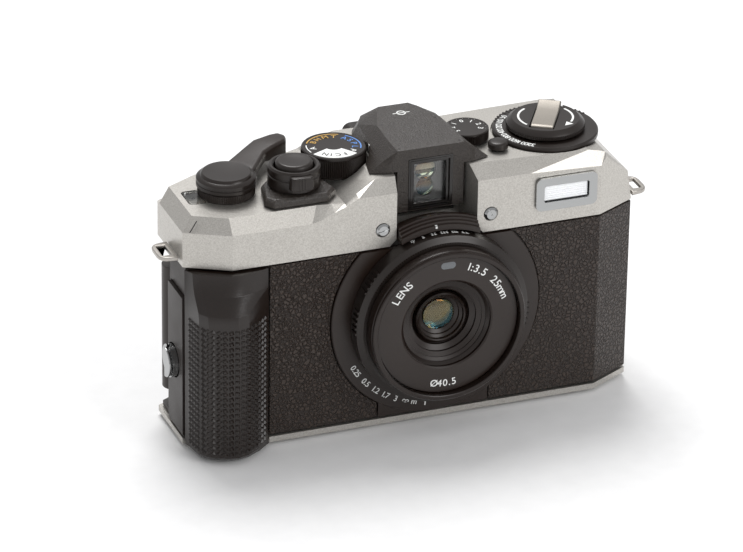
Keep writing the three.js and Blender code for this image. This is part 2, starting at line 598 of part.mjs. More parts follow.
// Lens: fixed barrel, turning focus ring, and a cell that moves forwards as the ring turns
const shutterY = frontY + 2.4;
const focusFront = plateFront - gap - focusDepth;
const rimBack = focusFront - runningGap;
const rimFront = rimBack - rimDepth;
const nameRingBack = rimFront + 2.9;
{
  const tube = turnedOnLens([
    [barrelOuter - barrelWall, focusFront + 0.4], [barrelOuter, focusFront + 0.4],
    [barrelOuter, frontY + 0.5], [tunnelRadius - 0.4, frontY + 0.5], [tunnelRadius - 0.4, frontY + 8],
    [tunnelRadius - 0.4 - barrelWall, frontY + 8], [tunnelRadius - 0.4 - barrelWall, frontY - 0.7],
    [barrelOuter - barrelWall, frontY - 0.7], [barrelOuter - barrelWall, focusFront + 0.4]]);
  const seatFront = shutterY + 4.1;
  const seat = turnedOnLens([
    [5.4, seatFront], [tunnelRadius - 0.6, seatFront], [tunnelRadius - 0.6, seatFront + 1.5],
      [6.4, seatFront + 1.5],
    [6.4, seatFront + 4.9], [5.4, seatFront + 4.9], [5.4, seatFront]], 24);
  piece('lens_barrel', join(tube, seat), blackPaint);

  const ring = lensRing(focusInner, focusRadius, focusFront, plateFront - gap, 36);
  const ribs = [];
  for (const middle of [146, 174, -34, -6]) {
    for (let step = -2; step <= 2; step += 1) {
      const angle = THREE.MathUtils.degToRad(middle + step * 3.6);
      const rib = block([focusRadius - 0.6, focusRadius + 0.45], [focusFront + 0.3, focusFront + 3.6],
        [-0.32, 0.32]);
      ribs.push(rib.rotate([0, -THREE.MathUtils.radToDeg(angle), 0]).translate([lensX, 0, lensHeight]));
    }
  }
  piece('focus_ring', join(ring, ...ribs), blackPaint);

  const shankOuter = barrelOuter - barrelWall - runningGap;
  const boreBack = 7.2;
  const filterSeat = rimRadius - 0.4;
  const cell = turnedOnLens([
    [nameRingOuter + 0.5, rimFront], [filterSeat, rimFront], [rimRadius, rimFront + 0.3],
      [rimRadius, rimBack],
    [shankOuter, rimBack], [shankOuter, frontY - 1.1], [boreBack, frontY - 1.1], [boreBack, frontY - 2.4],
    [boreBack + 0.9, frontY - 3.2], [boreBack + 0.9, frontY - 3.9], [boreBack + 2.3, frontY - 4.6],
    [boreBack + 2.3, frontY - 5.3], [boreBack + 3.6, frontY - 6.0], [nameRingInner, nameRingBack + 0.1],
    [nameRingInner + 0.6, nameRingBack], [nameRingOuter + 0.5, nameRingBack],
      [nameRingOuter + 0.5, rimFront]]);
  piece('lens_cell', cell, blackPaint);
  piece('name_ring', lensRing(nameRingInner + 0.1, nameRingOuter + 0.2, nameRingBack - gap - 0.7,
    nameRingBack - gap),
    blackPaint);
  const frontGlass = turnedOnLens([
    [0, frontY - 4.6], [2.6, frontY - 4.4], [4.6, frontY - 3.8], [6.4, frontY - 2.9], [6.9, frontY - 2.2],
    [6.9, frontY - 1.2], [0, frontY - 1.2]], 24);
  piece('front_element', frontGlass, glass);
}

// Shutter housing with two leaves and the rear element behind them
const stopRadius = 4.2;
const leafPivot = 9.6;
{
  const housing = lensRing(stopRadius, 12.9, shutterY, shutterY + 1.2, 24);
  const pivots = [-1, 1].map((side) => rod('y', 0.8, shutterY + 0.2, shutterY + 3.2,
    [lensX + side * leafPivot, lensHeight], 10));
  piece('shutter_housing', join(housing, ...pivots), innerMetal);
  [-1, 1].forEach((side) => {
    const front = shutterY + 1.2 + gap + (side > 0 ? 0.7 : 0);
    const name = side < 0 ? 'shutter_leaf_left' : 'shutter_leaf_right';
    const leaf = new THREE.Shape();
    leaf.absarc(lensX + side * leafPivot, lensHeight, 2, 0, 2 * Math.PI);
    const arm = prism(leaf, 'y', front, front + 0.35, 8);
    const blade = rod('y', 5.2, front, front + 0.35, [lensX + side * 2.2, lensHeight], 20);
    const bridge = block(side < 0 ? [lensX - leafPivot, lensX - 3] : [lensX + 3, lensX + leafPivot],
      [front, front + 0.35],
      [lensHeight - 2, lensHeight + 2]);
    const hole = rod('y', 1.0, front - 1, front + 2, [lensX + side * leafPivot, lensHeight], 10);
    piece(name, cut(join(arm, blade, bridge), hole), innerMetal);
  });
  piece('rear_element', turnedOnLens([
    [0, shutterY + 4.6], [5.1, shutterY + 5.2], [5.1, shutterY + 7.6], [3, shutterY + 8.4],
      [0, shutterY + 8.7]], 32), glass);
}

// Collar in the finder notch: arcs that step back from the lens to the finder window
{
  const collarBack = frontY + notchDepth - 3.9;
  const arc = (inner, outer, front, back) => lensRing(focusRadius + inner, focusRadius + outer,
    frontY - front, back, 48);
  const arcs = join(
    arc(0.8, 2.2, 3.2, collarBack), arc(2.0, 2.9, 2.4, frontY + 0.6),
    arc(2.7, 3.5, 1.6, frontY + 0.6), arc(3.3, 4.1, 0.8, frontY + 0.6));
  const section = (y) => {
    const half = notchHalfWidth - notchNarrowing(y) - gap;
    return [
      [lensX - half - 1.9, y, coverBottom + 0.1], [lensX + half + 1.9, y, coverBottom + 0.1],
      [lensX + half, y, coverBottom + 1.9], [lensX + half, y, deckZ],
      [lensX - half, y, deckZ], [lensX - half, y, coverBottom + 1.9],
    ];
  };
  const limits = loft([section(frontY - 4), section(collarBack)]);
  piece('lens_collar', arcs.intersect(limits), blackPaint);
}

// ---------------------------------------------------------------------------------------------------------------
// Finder: hood, window, chassis and its glass
const hoodFront = frontY + hoodSetback;
const hoodHigh = coverBottom + hoodTop;
const hoodShoulder = hoodHigh - 3;
const hoodSill = lensHeight + 27.6;
const windowHalf = 5.3;
const windowZ = { low: hoodSill + 1.0, high: hoodHigh - 4 };
{
  const skirtZ = deckZ + gap;
  const section = (back, roofHalf, roofDrop, shoulderHalf, skirtHalf) => {
    const y = hoodFront + back;
    return [
      [lensX - skirtHalf, y, skirtZ], [lensX + skirtHalf, y, skirtZ],
      [lensX + shoulderHalf, y, hoodShoulder], [lensX + roofHalf, y, hoodHigh - roofDrop],
      [lensX - roofHalf, y, hoodHigh - roofDrop], [lensX - shoulderHalf, y, hoodShoulder],
    ];
  };
  const roof = loft([
    section(0, hoodRoofHalf - 0.1, 0.1, hoodRoofHalf + 1.5, hoodRoofHalf + 3),
    section(1.4, hoodRoofHalf, 0, hoodRoofHalf + 3.5, hoodWingHalf),
    section(6.6, hoodRoofHalf, 0, hoodRoofHalf + 3.1, hoodWingHalf - 1.2),
    section(16.7, hoodRoofHalf - 0.5, 0, hoodRoofHalf + 2.5, hoodWingHalf - 2.6),
    section(25.2, hoodRoofHalf - 3.8, 0, hoodRoofHalf + 1.6, hoodWingHalf - 4),
    section(28.1, hoodRoofHalf - 5.2, 0.2, hoodRoofHalf + 0.2, hoodWingHalf - 5.2),
    section(30, hoodRoofHalf - 5.8, 2.4, hoodRoofHalf - 0.9, hoodWingHalf - 7.3),
  ]);
  const throatHalf = notchHalfWidth - notchTaper - gap;
  const throat = block([lensX - throatHalf, lensX + throatHalf], [hoodFront, frontY + notchDepth - gap],
    [hoodSill, skirtZ + 2]);
  const light = prism(roundedRectangle(lensX, (windowZ.low + windowZ.high) / 2, 2 * windowHalf,
    windowZ.high - windowZ.low, 0.6),
    'y', hoodFront - 1, hoodFront + 1.4);
  const chamber = block([lensX - windowHalf - 0.9, lensX + windowHalf + 0.9],
    [hoodFront + 1.3, frontY + notchDepth + 1],
    [windowZ.low - gap, hoodHigh - 2]);
  const dialRoom = [
    rod('z', modeDialRadius + 0.7, deckZ, hoodHigh + 2, [modeDial.x, modeDial.y], 36),
    rod('z', exposureDialRadius + 0.6, deckZ, deckZ + 4.4, [exposureDial.x, exposureDial.y], 40),
  ];
  piece('finder_hood', cut(join(roof, throat), light, chamber, ...dialRoom), blackPaint);
  piece('finder_window', block([lensX - windowHalf - 0.6, lensX + windowHalf + 0.6],
    [hoodFront + 1.6, hoodFront + 2.6],
    [windowZ.low - 0.2, windowZ.high + 0.4]), glass);

  const tunnelFront = frontY + notchDepth + 1.2;
  const chassis = cut(
    block([lensX - finderWidth / 2, lensX + finderWidth / 2], [tunnelFront, finderBack],
      [finderLow, finderHigh]),
    block([lensX - finderWidth / 2 + 1.2, lensX + finderWidth / 2 - 1.2], [tunnelFront - 1, backY],
      [finderLow + 1.2, finderHigh - 1.2]),
  );
  piece('finder_chassis', chassis, blackPlastic);
  const paneHalf = { x: finderWidth / 2 - 1.6, z: (finderHigh - finderLow) / 2 - 1.6 };
  const lensPane = (y0, y1, bulge) => {
    const pane = block([lensX - paneHalf.x, lensX + paneHalf.x], [y0, y1],
      [eyepieceZ - paneHalf.z, eyepieceZ + paneHalf.z]);
    return pane.intersect(rod('y', paneHalf.z + bulge, y0 - 1, y1 + 1, [lensX, eyepieceZ], 40));
  };
  piece('finder_prism', block([lensX - paneHalf.x, lensX + paneHalf.x], [tunnelFront + 3, finderBack - 7],
    [eyepieceZ - paneHalf.z, eyepieceZ + paneHalf.z]), glass);
  piece('eyepiece_lens', lensPane(finderBack - 4, finderBack - 1, 0.8), glass);

  const frame = cut(
    prism(roundedRectangle(lensX, eyepieceZ, 23, 13.6, 2.4), 'y', backY + gap, backY + 3.4),
    prism(roundedRectangle(lensX, eyepieceZ, 14, 8.6, 1.6), 'y', backY - 1, backY + 5),
  );
  piece('eyepiece_frame', frame, rubber);
}

// Flash: bezel, window, reflector and tube
{
  const rect = (grow) => roundedRectangle(flash.x, flash.z, flash.width + 2 * grow, flash.height + 2 * grow,
    1.6);
  const neck = roundedRectangle(flash.x, flash.z, flash.width - 3.0, flash.height - 3.0, 1.0);
  const mouth = roundedRectangle(flash.x, flash.z, flash.width - 4.6, flash.height - 4.6, 0.6);
  const bezel = cut(join(prism(rect(0), 'y', frontY - 0.9, frontY - gap),
    prism(neck, 'y', frontY - 0.5, frontY + 2.2)),
    prism(mouth, 'y', frontY - 2, frontY + 4));
  piece('flash_bezel', bezel, chrome);
  piece('flash_window', prism(roundedRectangle(flash.x, flash.z, flash.width - 5.2, flash.height - 5.2,
    0.4), 'y',
    frontY - 0.2, frontY + 0.8), glass);
  const wide = [flash.width / 2 - 1.2, flash.height / 2 - 1.2];
  const narrow = [flash.width / 2 - 2.4, 1.2];
  const face = (y, [w, h], grow) => [
    [flash.x - w - grow, y, flash.z - h - grow], [flash.x + w + grow, y, flash.z - h - grow],
    [flash.x + w + grow, y, flash.z + h + grow], [flash.x - w - grow, y, flash.z + h + grow]];
  const reflector = cut(
    loft([face(frontY + 2.6, wide, 0), face(frontY + 8.4, narrow, 0.7)]),
    loft([face(frontY + 2.5, wide, -0.6), face(frontY + 7.6, narrow, 0)]),
  );
  piece('flash_reflector', reflector, chrome);
  piece('flash_capacitor', rod('x', 4.6, exposureDial.x + 2, rewind.x + 9, [10.4, coverBottom + 6.4], 28),
    blackPlastic);
}

// Circuit board under the left shoulder
{
  const board = block([-endX + 24, modeDial.x + 2], [frontY + 3, backY - 4],
    [coverBottom + 1.4, coverBottom + 2.6]);
  const chip = block([release.x - 2, release.x + 6], [4, 11], [coverBottom + 2.5, coverBottom + 4]);
  piece('circuit_board', cut(join(board, chip), rod('z', 2.6, castTop, deckZ, [sprocket.x, sprocket.y],
    20)), greenBoard);
}

// Slotted screws of the front
[['left', -1, 25], ['right', 1, 70]].forEach(([side, sign, turn]) => {
  const x = lensX + sign * screwOffset;
  const head = turned([[0, -0.5], [1.2, -0.42], [screwRadius - 0.1, -0.1], [screwRadius, 0.2],
    [screwRadius, 0.55],
    [0.7, 0.55], [0.7, 3.2], [0, 3.2]], { x: 0, y: 0 }, 20);
  const slot = block([-0.28, 0.28], [-3, 3], [-1, -0.05]);
  piece(`front_screw_${side}`, cut(head, slot).rotate([0, 0, turn]).rotate([-90, 0, 0]).translate([x,
    frontY, screwZ]), steel);
});

// ---------------------------------------------------------------------------------------------------------------
// Film transport: lever, take-up spool, sprocket and frame counter
{
  const low = shoulderZ + gap;
  const disc = turned([
    [0, low - 3.6], [2.1, low - 3.6], [2.1, low], [leverDiscRadius - 0.5, low],
      [leverDiscRadius - 0.5, low + 2],
    [leverDiscRadius, low + 2.4], [leverDiscRadius, low + 4.8], [leverDiscRadius - 1.2, low + 5.5],
    [6.3, low + 6.0], [0, low + 6.0]], lever, 32);
  const armLow = low + 2.2;
  const arm = loft([
    [3, -5.2, 5.0, 0, 2.1], [leverReach - 17.6, -3.0, 5.6, 0, 2.6], [leverReach - 10.6, -0.5, 6.1, 0, 3.2],
    [leverReach - 7.1, -0.8, 6.2, -0.6, 3.6], [leverReach - 2.3, -1.4, 4.6, -0.8, 3.8],
      [leverReach, 0.2, 3.6, -0.5, 3.7],
  ].map(([u, v0, v1, w0, w1]) => [[u, v0, armLow + w0], [u, v1, armLow + w0], [u, v1 - 0.5, armLow + w1],
    [u, v0 + 0.5, armLow + w1]]));
  piece('advance_lever', join(disc, arm.rotate([0, 0, leverRest]).translate([lever.x, lever.y, 0])),
    blackPaint);

  const spool = turned([
    [0, chamberLow + 0.6], [4.2, chamberLow + 0.6], [4.2, chamberLow + 2], [8.6, chamberLow + 2],
      [8.6, chamberLow + 3],
    [6, chamberLow + 3], [6, chamberHigh - 3], [8.6, chamberHigh - 3], [8.6, chamberHigh - 2],
    [2.2, chamberHigh - 2], [2.2, coverBottom + 1], [0, coverBottom + 1]], takeUp, 24);
  const slit = block([takeUp.x - 0.6, takeUp.x + 0.6], [takeUp.y + 3, takeUp.y + 12],
    [chamberLow + 6, chamberHigh - 6]);
  piece('take_up_spool', cut(spool, slit), blackPlastic);

  const drum = turned([
    [0, chamberLow + 0.6], [1.6, chamberLow + 0.6], [1.6, chamberLow + 3], [4.1, chamberLow + 3],
      [4.1, chamberLow + 8],
    [3, chamberLow + 9], [3, chamberHigh - 9], [4.1, chamberHigh - 8], [4.1, chamberHigh - 3],
      [1.3, chamberHigh - 3],
    [1.3, coverBottom + 1], [0, coverBottom + 1]], sprocket, 16);
  const teeth = [];
  for (let tooth = 0; tooth < 8; tooth += 1) {
    for (const z of [chamberLow + 5, chamberHigh - 6.4]) {
      const one = block([3.9, 4.9], [-0.6, 0.6], [z, z + 1.4]);
      teeth.push(one.rotate([0, 0, 45 * tooth + 10]).translate([sprocket.x, sprocket.y, 0]));
    }
  }
  piece('film_sprocket', join(drum, ...teeth), whitePlastic);

  const counterZ = shoulderZ - coverWall - 2.4;
  piece('counter_window', prism(roundedRectangle(counter.x, counter.y, counter.width - 0.6,
    counter.depth - 0.6, 0.9), 'z',
    shoulderZ - 1.2, shoulderZ - 0.1), glass);
  piece('counter_disc', uprightRing(2.5, 11.4, counterZ, counterZ + 0.8, lever, 28), whitePlastic);
}

// Release: platform, power switch collar and button
{
  const plan = [[10.2, 5.5], [8.4, 8.5], [-6.6, 8.5], [-9.8, 5.0], [-8.6, -0.4], [-5.0, -4.8], [5, -6.2],
    [8.2, -2.6]]
    .map(([dx, dy]) => [release.x - dx, release.y - dy]);
  const low = shoulderZ + gap;
  const platformTop = low + 2.4;
  const sections = [[0, low], [0, platformTop - 0.8], [0.8, platformTop]]
    .map(([distance, z]) => inset(plan, distance).map(([x, y]) => [x, y, z]));
  const well = rod('z', 3.1, low - 1, platformTop + 1, [release.x, release.y], 24);
  piece('shutter_platform', cut(loft(sections), well), blackPaint);

  const collarLow = platformTop + gap;
  const collarTop = collarLow + 5.6;
  const collar = turned([
    [buttonRadius + 0.5, collarLow + 2.6], [3.0, collarLow + 2.6], [3.0, collarLow],
      [collarRadius - 0.6, collarLow],
    [collarRadius, collarLow + 0.6], [collarRadius, collarTop - 0.6], [collarRadius - 0.5, collarTop],
    [buttonRadius + 0.5, collarTop], [buttonRadius + 0.5, collarLow + 2.6]], release, 28);
  const tab = block([collarRadius - 2, collarRadius + 1.5], [-3.4, 3.4],
    [collarLow + 1.3, collarTop - 0.7]);
  piece('power_switch', join(collar, tab.rotate([0, 0, -93]).translate([release.x, release.y, 0])),
    blackPaint);
  piece('shutter_button', turned([
    [0, coverBottom + 9], [2.5, coverBottom + 9], [2.5, collarLow + 4.4], [buttonRadius, collarLow + 4.4],
    [buttonRadius, collarTop + 0.5], [buttonRadius - 0.8, collarTop + 1.1], [0, collarTop + 1.1]], release,
      24), blackPaint);
}

// Dials of the deck
{
  const dialTop = deckZ + 3.3;
  piece('mode_dial', turned([
    [0, coverBottom + 12.4], [1.7, coverBottom + 12.4], [1.7, dialFloor + gap],
      [modeDialRadius - 0.4, dialFloor + gap],
    [modeDialRadius, dialFloor + 0.7], [modeDialRadius, dialTop - 0.9],
      [modeDialRadius - 0.6, dialTop - 0.3],
    [modeDialRadius - 1, dialTop], [0, dialTop]], modeDial, 32), blackPaint);
  const low = deckZ + gap;
  piece('exposure_dial', turned([
    [0, deckZ - 4], [1.7, deckZ - 4], [1.7, low], [exposureDialRadius - 0.3, low],
      [exposureDialRadius, low + 0.4],
    [exposureDialRadius, low + 2.8], [exposureDialRadius - 0.4, low + 3.2], [0, low + 3.2]], exposureDial,
      28), blackPaint);
  piece('speed_ring', turned([
    [5, speedFloor + gap], [speedRingRadius, speedFloor + gap], [speedRingRadius, speedTop - 0.5],
    [speedRingRadius - 0.5, speedTop], [5, speedTop], [5, speedFloor + gap]], rewind, 36), blackPaint);
  const lockButton = { x: endX - 37.1, y: -8.6 };
  piece('speed_lock_button', turned([
    [0, deckZ - 3.4], [1.7, deckZ - 3.4], [1.7, low + 0.5], [2.7, low + 0.5], [2.7, low + 1.3],
      [2.1, low + 1.9],
    [0, low + 2.2]], lockButton, 18), blackPaint);
}

// Rewind: sleeve that lifts, shaft with its fork, knob and folding crank
{
  const knobLow = speedTop + gap;
  const knobTop = knobLow + 2.6;
  piece('rewind_sleeve', uprightRing(2.9, 4.1, castTop - 1.4, knobLow - 0.4, rewind, 20), steel);
  const shaft = turned([
    [0, chamberHigh - 6], [2.5, chamberHigh - 6], [2.5, knobLow], [rewindKnobRadius - 0.3, knobLow],
    [rewindKnobRadius, knobLow + 0.3], [rewindKnobRadius, knobLow + 0.9], [rewindKnobRadius - 1.4, knobTop],
    [0, knobTop]], { x: 0, y: 0 }, 32);
  const channel = block([-crankHalf - gap, crankHalf + gap], [-crankBack - 1, 12],
    [knobTop - 1.4, knobTop + 2]);
  const fork = block([-0.9, 0.9], [-2.2, 2.2], [chamberHigh - 10, chamberHigh - 5.5]);
  const place = (body) => body.rotate([0, 0, -crankTurn]).translate([rewind.x, rewind.y, 0]);
  piece('rewind_knob', place(join(cut(shaft, channel), fork)), blackPaint);
  const side = [
    [-crankBack, knobTop - 1.0], [crankBend, knobTop - 1.0], [crankTip, knobTop + crankRise - 1.3],
    [crankTip + 0.5, knobTop + crankRise - 0.7], [crankTip, knobTop + crankRise],
      [crankBend, knobTop + 0.4],
    [1 - crankBack, knobTop + 0.3], [-crankBack, knobTop - 0.2]];
  piece('rewind_crank', place(prism(outlineShape(side), 'x', -crankHalf, crankHalf)), satinSilver);
}

// ---------------------------------------------------------------------------------------------------------------
// Grip, battery lid with its key, and battery
{
  const low = baseBottom + 0.2;
  const seat = inset(outline, skinThickness + 0.1 - gap);
  const inner = [[gripEdgeX, seat[0][1]], seat[0], [-endX + 0.6, frontY + frontCorner.y - 0.2]];
  const level = (share, shrink) => (z) => {
    const outer = gripSection.map(([dx, dy]) => {
      const flat = -Math.min(0, (dx - frontCorner.x) * frontCorner.y / frontCorner.x);
      const proud = (flat - dy) * share * gripDepth / 8;
      return [-endX + dx + shrink, frontY + flat - Math.max(proud, 0.35) + shrink * 0.4, z];
    });
    return [...outer, ...inner.map(([x, y]) => [x, y, z])];
  };
  const full = level(1, 0);
  const sections = [
    level(0.86, 0.35)(low), full(low + 1.2), full(castTop - 11.6), level(0.94, 0)(castTop - 9.6),
      level(0.72, 0)(castTop - 7.6),
    level(0.5, 0)(castTop - 5.6), level(0.36, 0)(castTop - 3), level(0.3, 0)(castTop - 0.3),
  ];
  piece('grip', cut(loft(sections), gripCore(2.2 - gap).translate([0, 0, -0.6]), gripCore(2.2 - gap),
    rod('z', batteryRadius + gap, batteryLow, batteryLow + batteryLength + 2, [battery.x, battery.y])),
      rubber);

  const keyZ = castBottom + 19.6;
  const keyY = frontY + 14;
  const lidPlate = block([-endX, -endX + lidThickness], [lidY.front, lidY.back], [lidZ.low, lidZ.high]);
  const keyHole = rod('x', 4.8, -endX - 1, -endX + 1.2, [keyY, keyZ], 32);
  const keyBore = rod('x', 1.9, -endX - 1, -endX + 4, [keyY, keyZ], 20);
  piece('battery_lid', cut(lidPlate, keyHole, keyBore), blackPlastic);
  const keyDisc = join(rod('x', 4.5, -endX - 1.6, -endX + 0.9, [keyY, keyZ], 32),
    rod('x', 1.6, -endX + 0.5, -endX + 2.6, [keyY, keyZ], 20));
  const keySlot = block([-endX - 2, -endX - 0.6], [keyY - 0.9, keyY + 0.9], [keyZ - 6, keyZ + 6]);
  piece('battery_key', cut(keyDisc, keySlot), chrome);
  const half = new THREE.Shape();
  half.absarc(keyY, keyZ, 4.3, Math.PI / 2, 1.5 * Math.PI);
  piece('key_handle', prism(half, 'x', -endX - 2.6, -endX - 1.9, 12), chrome);
  piece('battery', turned([
    [0, batteryLow + 0.6], [batteryRadius - 0.4, batteryLow + 0.6], [batteryRadius, batteryLow + 1],
      [batteryRadius, batteryLow + batteryLength - 1.4],
    [3.2, batteryLow + batteryLength - 1], [3.2, batteryLow + batteryLength],
      [0, batteryLow + batteryLength]], battery, 20), brass);
}

// Strap lugs: plates on both ends, each with a slot for the strap
{
  const lugZ = coverBottom + 1.4;
  const slotHalf = 2.0;
  [['left', -1], ['right', 1]].forEach(([name, sign]) => {
    const loop = new THREE.Shape();
    const far = sign * (endX + 5.2);
    const near = sign * (endX + gap);
    const middle = name === 'left' ? -5.6 : -8.0;
    loop.moveTo(near, middle - 5);
    loop.lineTo(sign * (endX + 3.4), middle - 4.4);
    loop.quadraticCurveTo(far, middle - 3.6, far, middle - 1.4);
    loop.lineTo(far, middle + 1.8);
    loop.quadraticCurveTo(far, middle + 4, sign * (endX + 3.4), middle + 4.6);
    loop.lineTo(near, middle + 5);
    const slot = block([Math.min(sign * (endX + 1.6), sign * (endX + 3.9)),
      Math.max(sign * (endX + 1.6), sign * (endX + 3.9))],
      [middle - slotHalf - 0.8, middle + slotHalf + 1.0], [lugZ - 3, lugZ + 3]);
    piece(`strap_lug_${name}`, cut(prism(loop, 'z', lugZ - 0.6, lugZ + 0.6), slot), chrome);
  });
}

export default camera;
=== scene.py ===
"""Looks of a compact half frame film camera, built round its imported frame.

Every piece is modelled in the frame's own metres, with +Z up and the lens looking along -Y. Sizes inside the classes
are in millimetres, which is how such a camera is drawn, and are turned to metres when a mesh is placed.
"""

import logging
import math
from dataclasses import dataclass, field
from enum import Enum
from typing import Any, Iterable, Sequence

import bmesh
import bpy
from mathutils import Matrix, Vector


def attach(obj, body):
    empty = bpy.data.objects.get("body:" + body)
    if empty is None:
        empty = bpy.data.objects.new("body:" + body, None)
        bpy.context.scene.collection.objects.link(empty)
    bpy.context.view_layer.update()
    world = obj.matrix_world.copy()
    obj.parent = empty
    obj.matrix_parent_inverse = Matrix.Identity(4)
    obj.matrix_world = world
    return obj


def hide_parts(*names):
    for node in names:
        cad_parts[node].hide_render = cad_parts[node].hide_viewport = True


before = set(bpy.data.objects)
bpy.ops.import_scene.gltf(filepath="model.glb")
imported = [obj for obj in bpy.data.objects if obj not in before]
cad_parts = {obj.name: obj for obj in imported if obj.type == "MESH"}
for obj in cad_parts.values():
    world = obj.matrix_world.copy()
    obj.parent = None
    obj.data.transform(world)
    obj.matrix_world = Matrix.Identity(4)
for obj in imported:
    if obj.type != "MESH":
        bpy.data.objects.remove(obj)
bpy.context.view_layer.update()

LOG = logging.getLogger("half_frame_camera")
MM = 0.001
Point = tuple[float, float, float]
Profile = Sequence[tuple[float, float]]


class Axis(Enum):
    """Which way a turned piece faces."""

    UP = "up"
    LENS = "lens"
    LEFT = "left"


class Rib(Enum):
    """The small form that a ring of ribs repeats."""

    FLAT = "flat"
    RIDGE = "ridge"


def linear(hex_colour: str) -> tuple[float, float, float, float]:
    """Turn an sRGB hex value into linear colour.

    Args:
        hex_colour: Six hex digits after a hash sign.

    Returns:
        Linear red, green, blue and an alpha of one.
    """
    parts = [int(hex_colour[i:i + 2], 16) / 255 for i in (1, 3, 5)]
    red, green, blue = (p / 12.92 if p <= 0.04045 else ((p + 0.055) / 1.055) ** 2.4 for p in parts)
    return red, green, blue, 1.0


def add_node(
    tree: bpy.types.NodeTree,
    kind: str,
    settings: dict[Any, Any] | None = None,
    links: dict[Any, bpy.types.NodeSocket] | None = None,
) -> bpy.types.Node:
    """Add a node with its settings and links.

    Args:
        tree: The tree that gets the node.
        kind: The node's type.
        settings: Attributes by lower-case name, and input values by capitalised name or by index.
        links: The output socket that feeds each named or numbered input.

    Returns:
        The new node.
    """
    node = tree.nodes.new(kind)
    for key, value in (settings or {}).items():
        if isinstance(key, int) or key[0].isupper():
            node.inputs[key].default_value = value
        else:
            setattr(node, key, value)
    for key, output in (links or {}).items():
        tree.links.new(output, node.inputs[key])
    return node


# ----------------------------------------------------------------------------------------------------------------
# Finishes


@dataclass(frozen=True)
class Finish:
    """A surface with one colour, its gloss, and a fine grain that its maker's process leaves.

    The grain is given by its real width in millimetres and by how deep it looks.
    """

    name: str
    colour: str
    roughness: float
    metallic: float = 0.0
    mottle: str = ""
    grain: float = 0.3
    depth: float = 0.1
    patchiness: float = 0.12

    def build(self) -> bpy.types.Material:
        """Make the material, or return it if it is made already."""
        known = bpy.data.materials.get(self.name)
        if known:
            return known
        material = bpy.data.materials.new(self.name)
        material.use_nodes = True
        tree = material.node_tree
        shader = tree.nodes["Principled BSDF"]
        shader.inputs["Base Color"].default_value = linear(self.colour)
        shader.inputs["Roughness"].default_value = self.roughness
        shader.inputs["Metallic"].default_value = self.metallic
        material.diffuse_color = linear(self.colour)
        place = add_node(tree, "ShaderNodeTexCoord")
        self.detail(tree, shader, place.outputs["Object"])
        return material

    def detail(self, tree: bpy.types.NodeTree, shader: bpy.types.Node, place: bpy.types.NodeSocket) -> None:
        """Add the grain, the slight change of colour across it, and the uneven gloss.

        Args:
            tree: The material's tree.
            shader: Its Principled node.
            place: Object coordinates in metres.
        """
        fine = add_node(tree, "ShaderNodeTexNoise", {"Scale": 1 / (self.grain * MM), "Detail": 3.0}, {"Vector": place})
        broad = add_node(tree, "ShaderNodeTexNoise", {"Scale": 1 / (14 * MM), "Detail": 2.0}, {"Vector": place})
        # The second colour, mixed in by fine noise, is random mottle; on the baked enamel its pale specks are painted
        # glints, a painted highlight.
        if self.mottle:
            share = add_node(tree, "ShaderNodeMapRange", {"From Min": 0.35, "From Max": 0.7}, {"Value": fine.outputs["Fac"]})
            blend = add_node(
                tree, "ShaderNodeMix",
                {"data_type": "RGBA", 6: linear(self.colour), 7: linear(self.mottle)},
                {"Factor": share.outputs["Result"]},
            )
            tree.links.new(blend.outputs[2], shader.inputs["Base Color"])
        gloss = add_node(
            tree, "ShaderNodeMapRange",
            {"From Min": 0.3, "From Max": 0.7, "To Min": self.roughness - self.patchiness / 2,
             "To Max": self.roughness + self.patchiness / 2},
            {"Value": broad.outputs["Fac"]},
        )
        tree.links.new(gloss.outputs["Result"], shader.inputs["Roughness"])
        bump = add_node(
            tree, "ShaderNodeBump", {"Strength": self.depth, "Distance": self.grain * MM * 0.5},
            {"Height": fine.outputs["Fac"]},
        )
        tree.links.new(bump.outputs["Normal"], shader.inputs["Normal"])


@dataclass(frozen=True)
class Leatherette(Finish):
    """Pebbled synthetic leather: embossed cells of about a millimetre with a shine on their tops."""

    cell: float = 1.15

    def detail(self, tree: bpy.types.NodeTree, shader: bpy.types.Node, place: bpy.types.NodeSocket) -> None:
        """Add the embossed pebbles, finer creases between them with painted shade in their darker colour, and glossier
        tops.
        """
        warp = add_node(tree, "ShaderNodeTexNoise", {"Scale": 1 / (1.1 * MM), "Detail": 3.0}, {"Vector": place})
        shift = add_node(
            tree, "ShaderNodeVectorMath", {"operation": "MULTIPLY_ADD", 1: (1.3 * MM,) * 3},
            {0: warp.outputs["Color"], 2: place},
        )
        cells = add_node(
            tree, "ShaderNodeTexVoronoi", {"feature": "DISTANCE_TO_EDGE", "Scale": 1 / (self.cell * MM)},
            {"Vector": shift.outputs["Vector"]},
        )
        crease = add_node(tree, "ShaderNodeTexNoise", {"Scale": 1 / (0.5 * MM), "Detail": 4.0}, {"Vector": place})
        tops = add_node(
            tree, "ShaderNodeMapRange", {"interpolation_type": "SMOOTHSTEP", "From Min": 0.0, "From Max": 0.22},
            {"Value": cells.outputs["Distance"]},
        )
        height = add_node(
            tree, "ShaderNodeMath", {"operation": "MULTIPLY_ADD", 1: 0.6},
            {0: crease.outputs["Fac"], 2: tops.outputs["Result"]},
        )
        # Painted shade: the creases between the pebbles take the darker second colour, where shade falls.
        blend = add_node(
            tree, "ShaderNodeMix", {"data_type": "RGBA", 6: linear(self.mottle), 7: linear(self.colour)},
            {"Factor": tops.outputs["Result"]},
        )
        tree.links.new(blend.outputs[2], shader.inputs["Base Color"])
        gloss = add_node(
            tree, "ShaderNodeMapRange", {"To Min": self.roughness + 0.2, "To Max": self.roughness},
            {"Value": tops.outputs["Result"]},
        )
        tree.links.new(gloss.outputs["Result"], shader.inputs["Roughness"])
        bump = add_node(
            tree, "ShaderNodeBump", {"Strength": self.depth, "Distance": 0.35 * MM}, {"Height": height.outputs["Value"]},
        )
        tree.links.new(bump.outputs["Normal"], shader.inputs["Normal"])


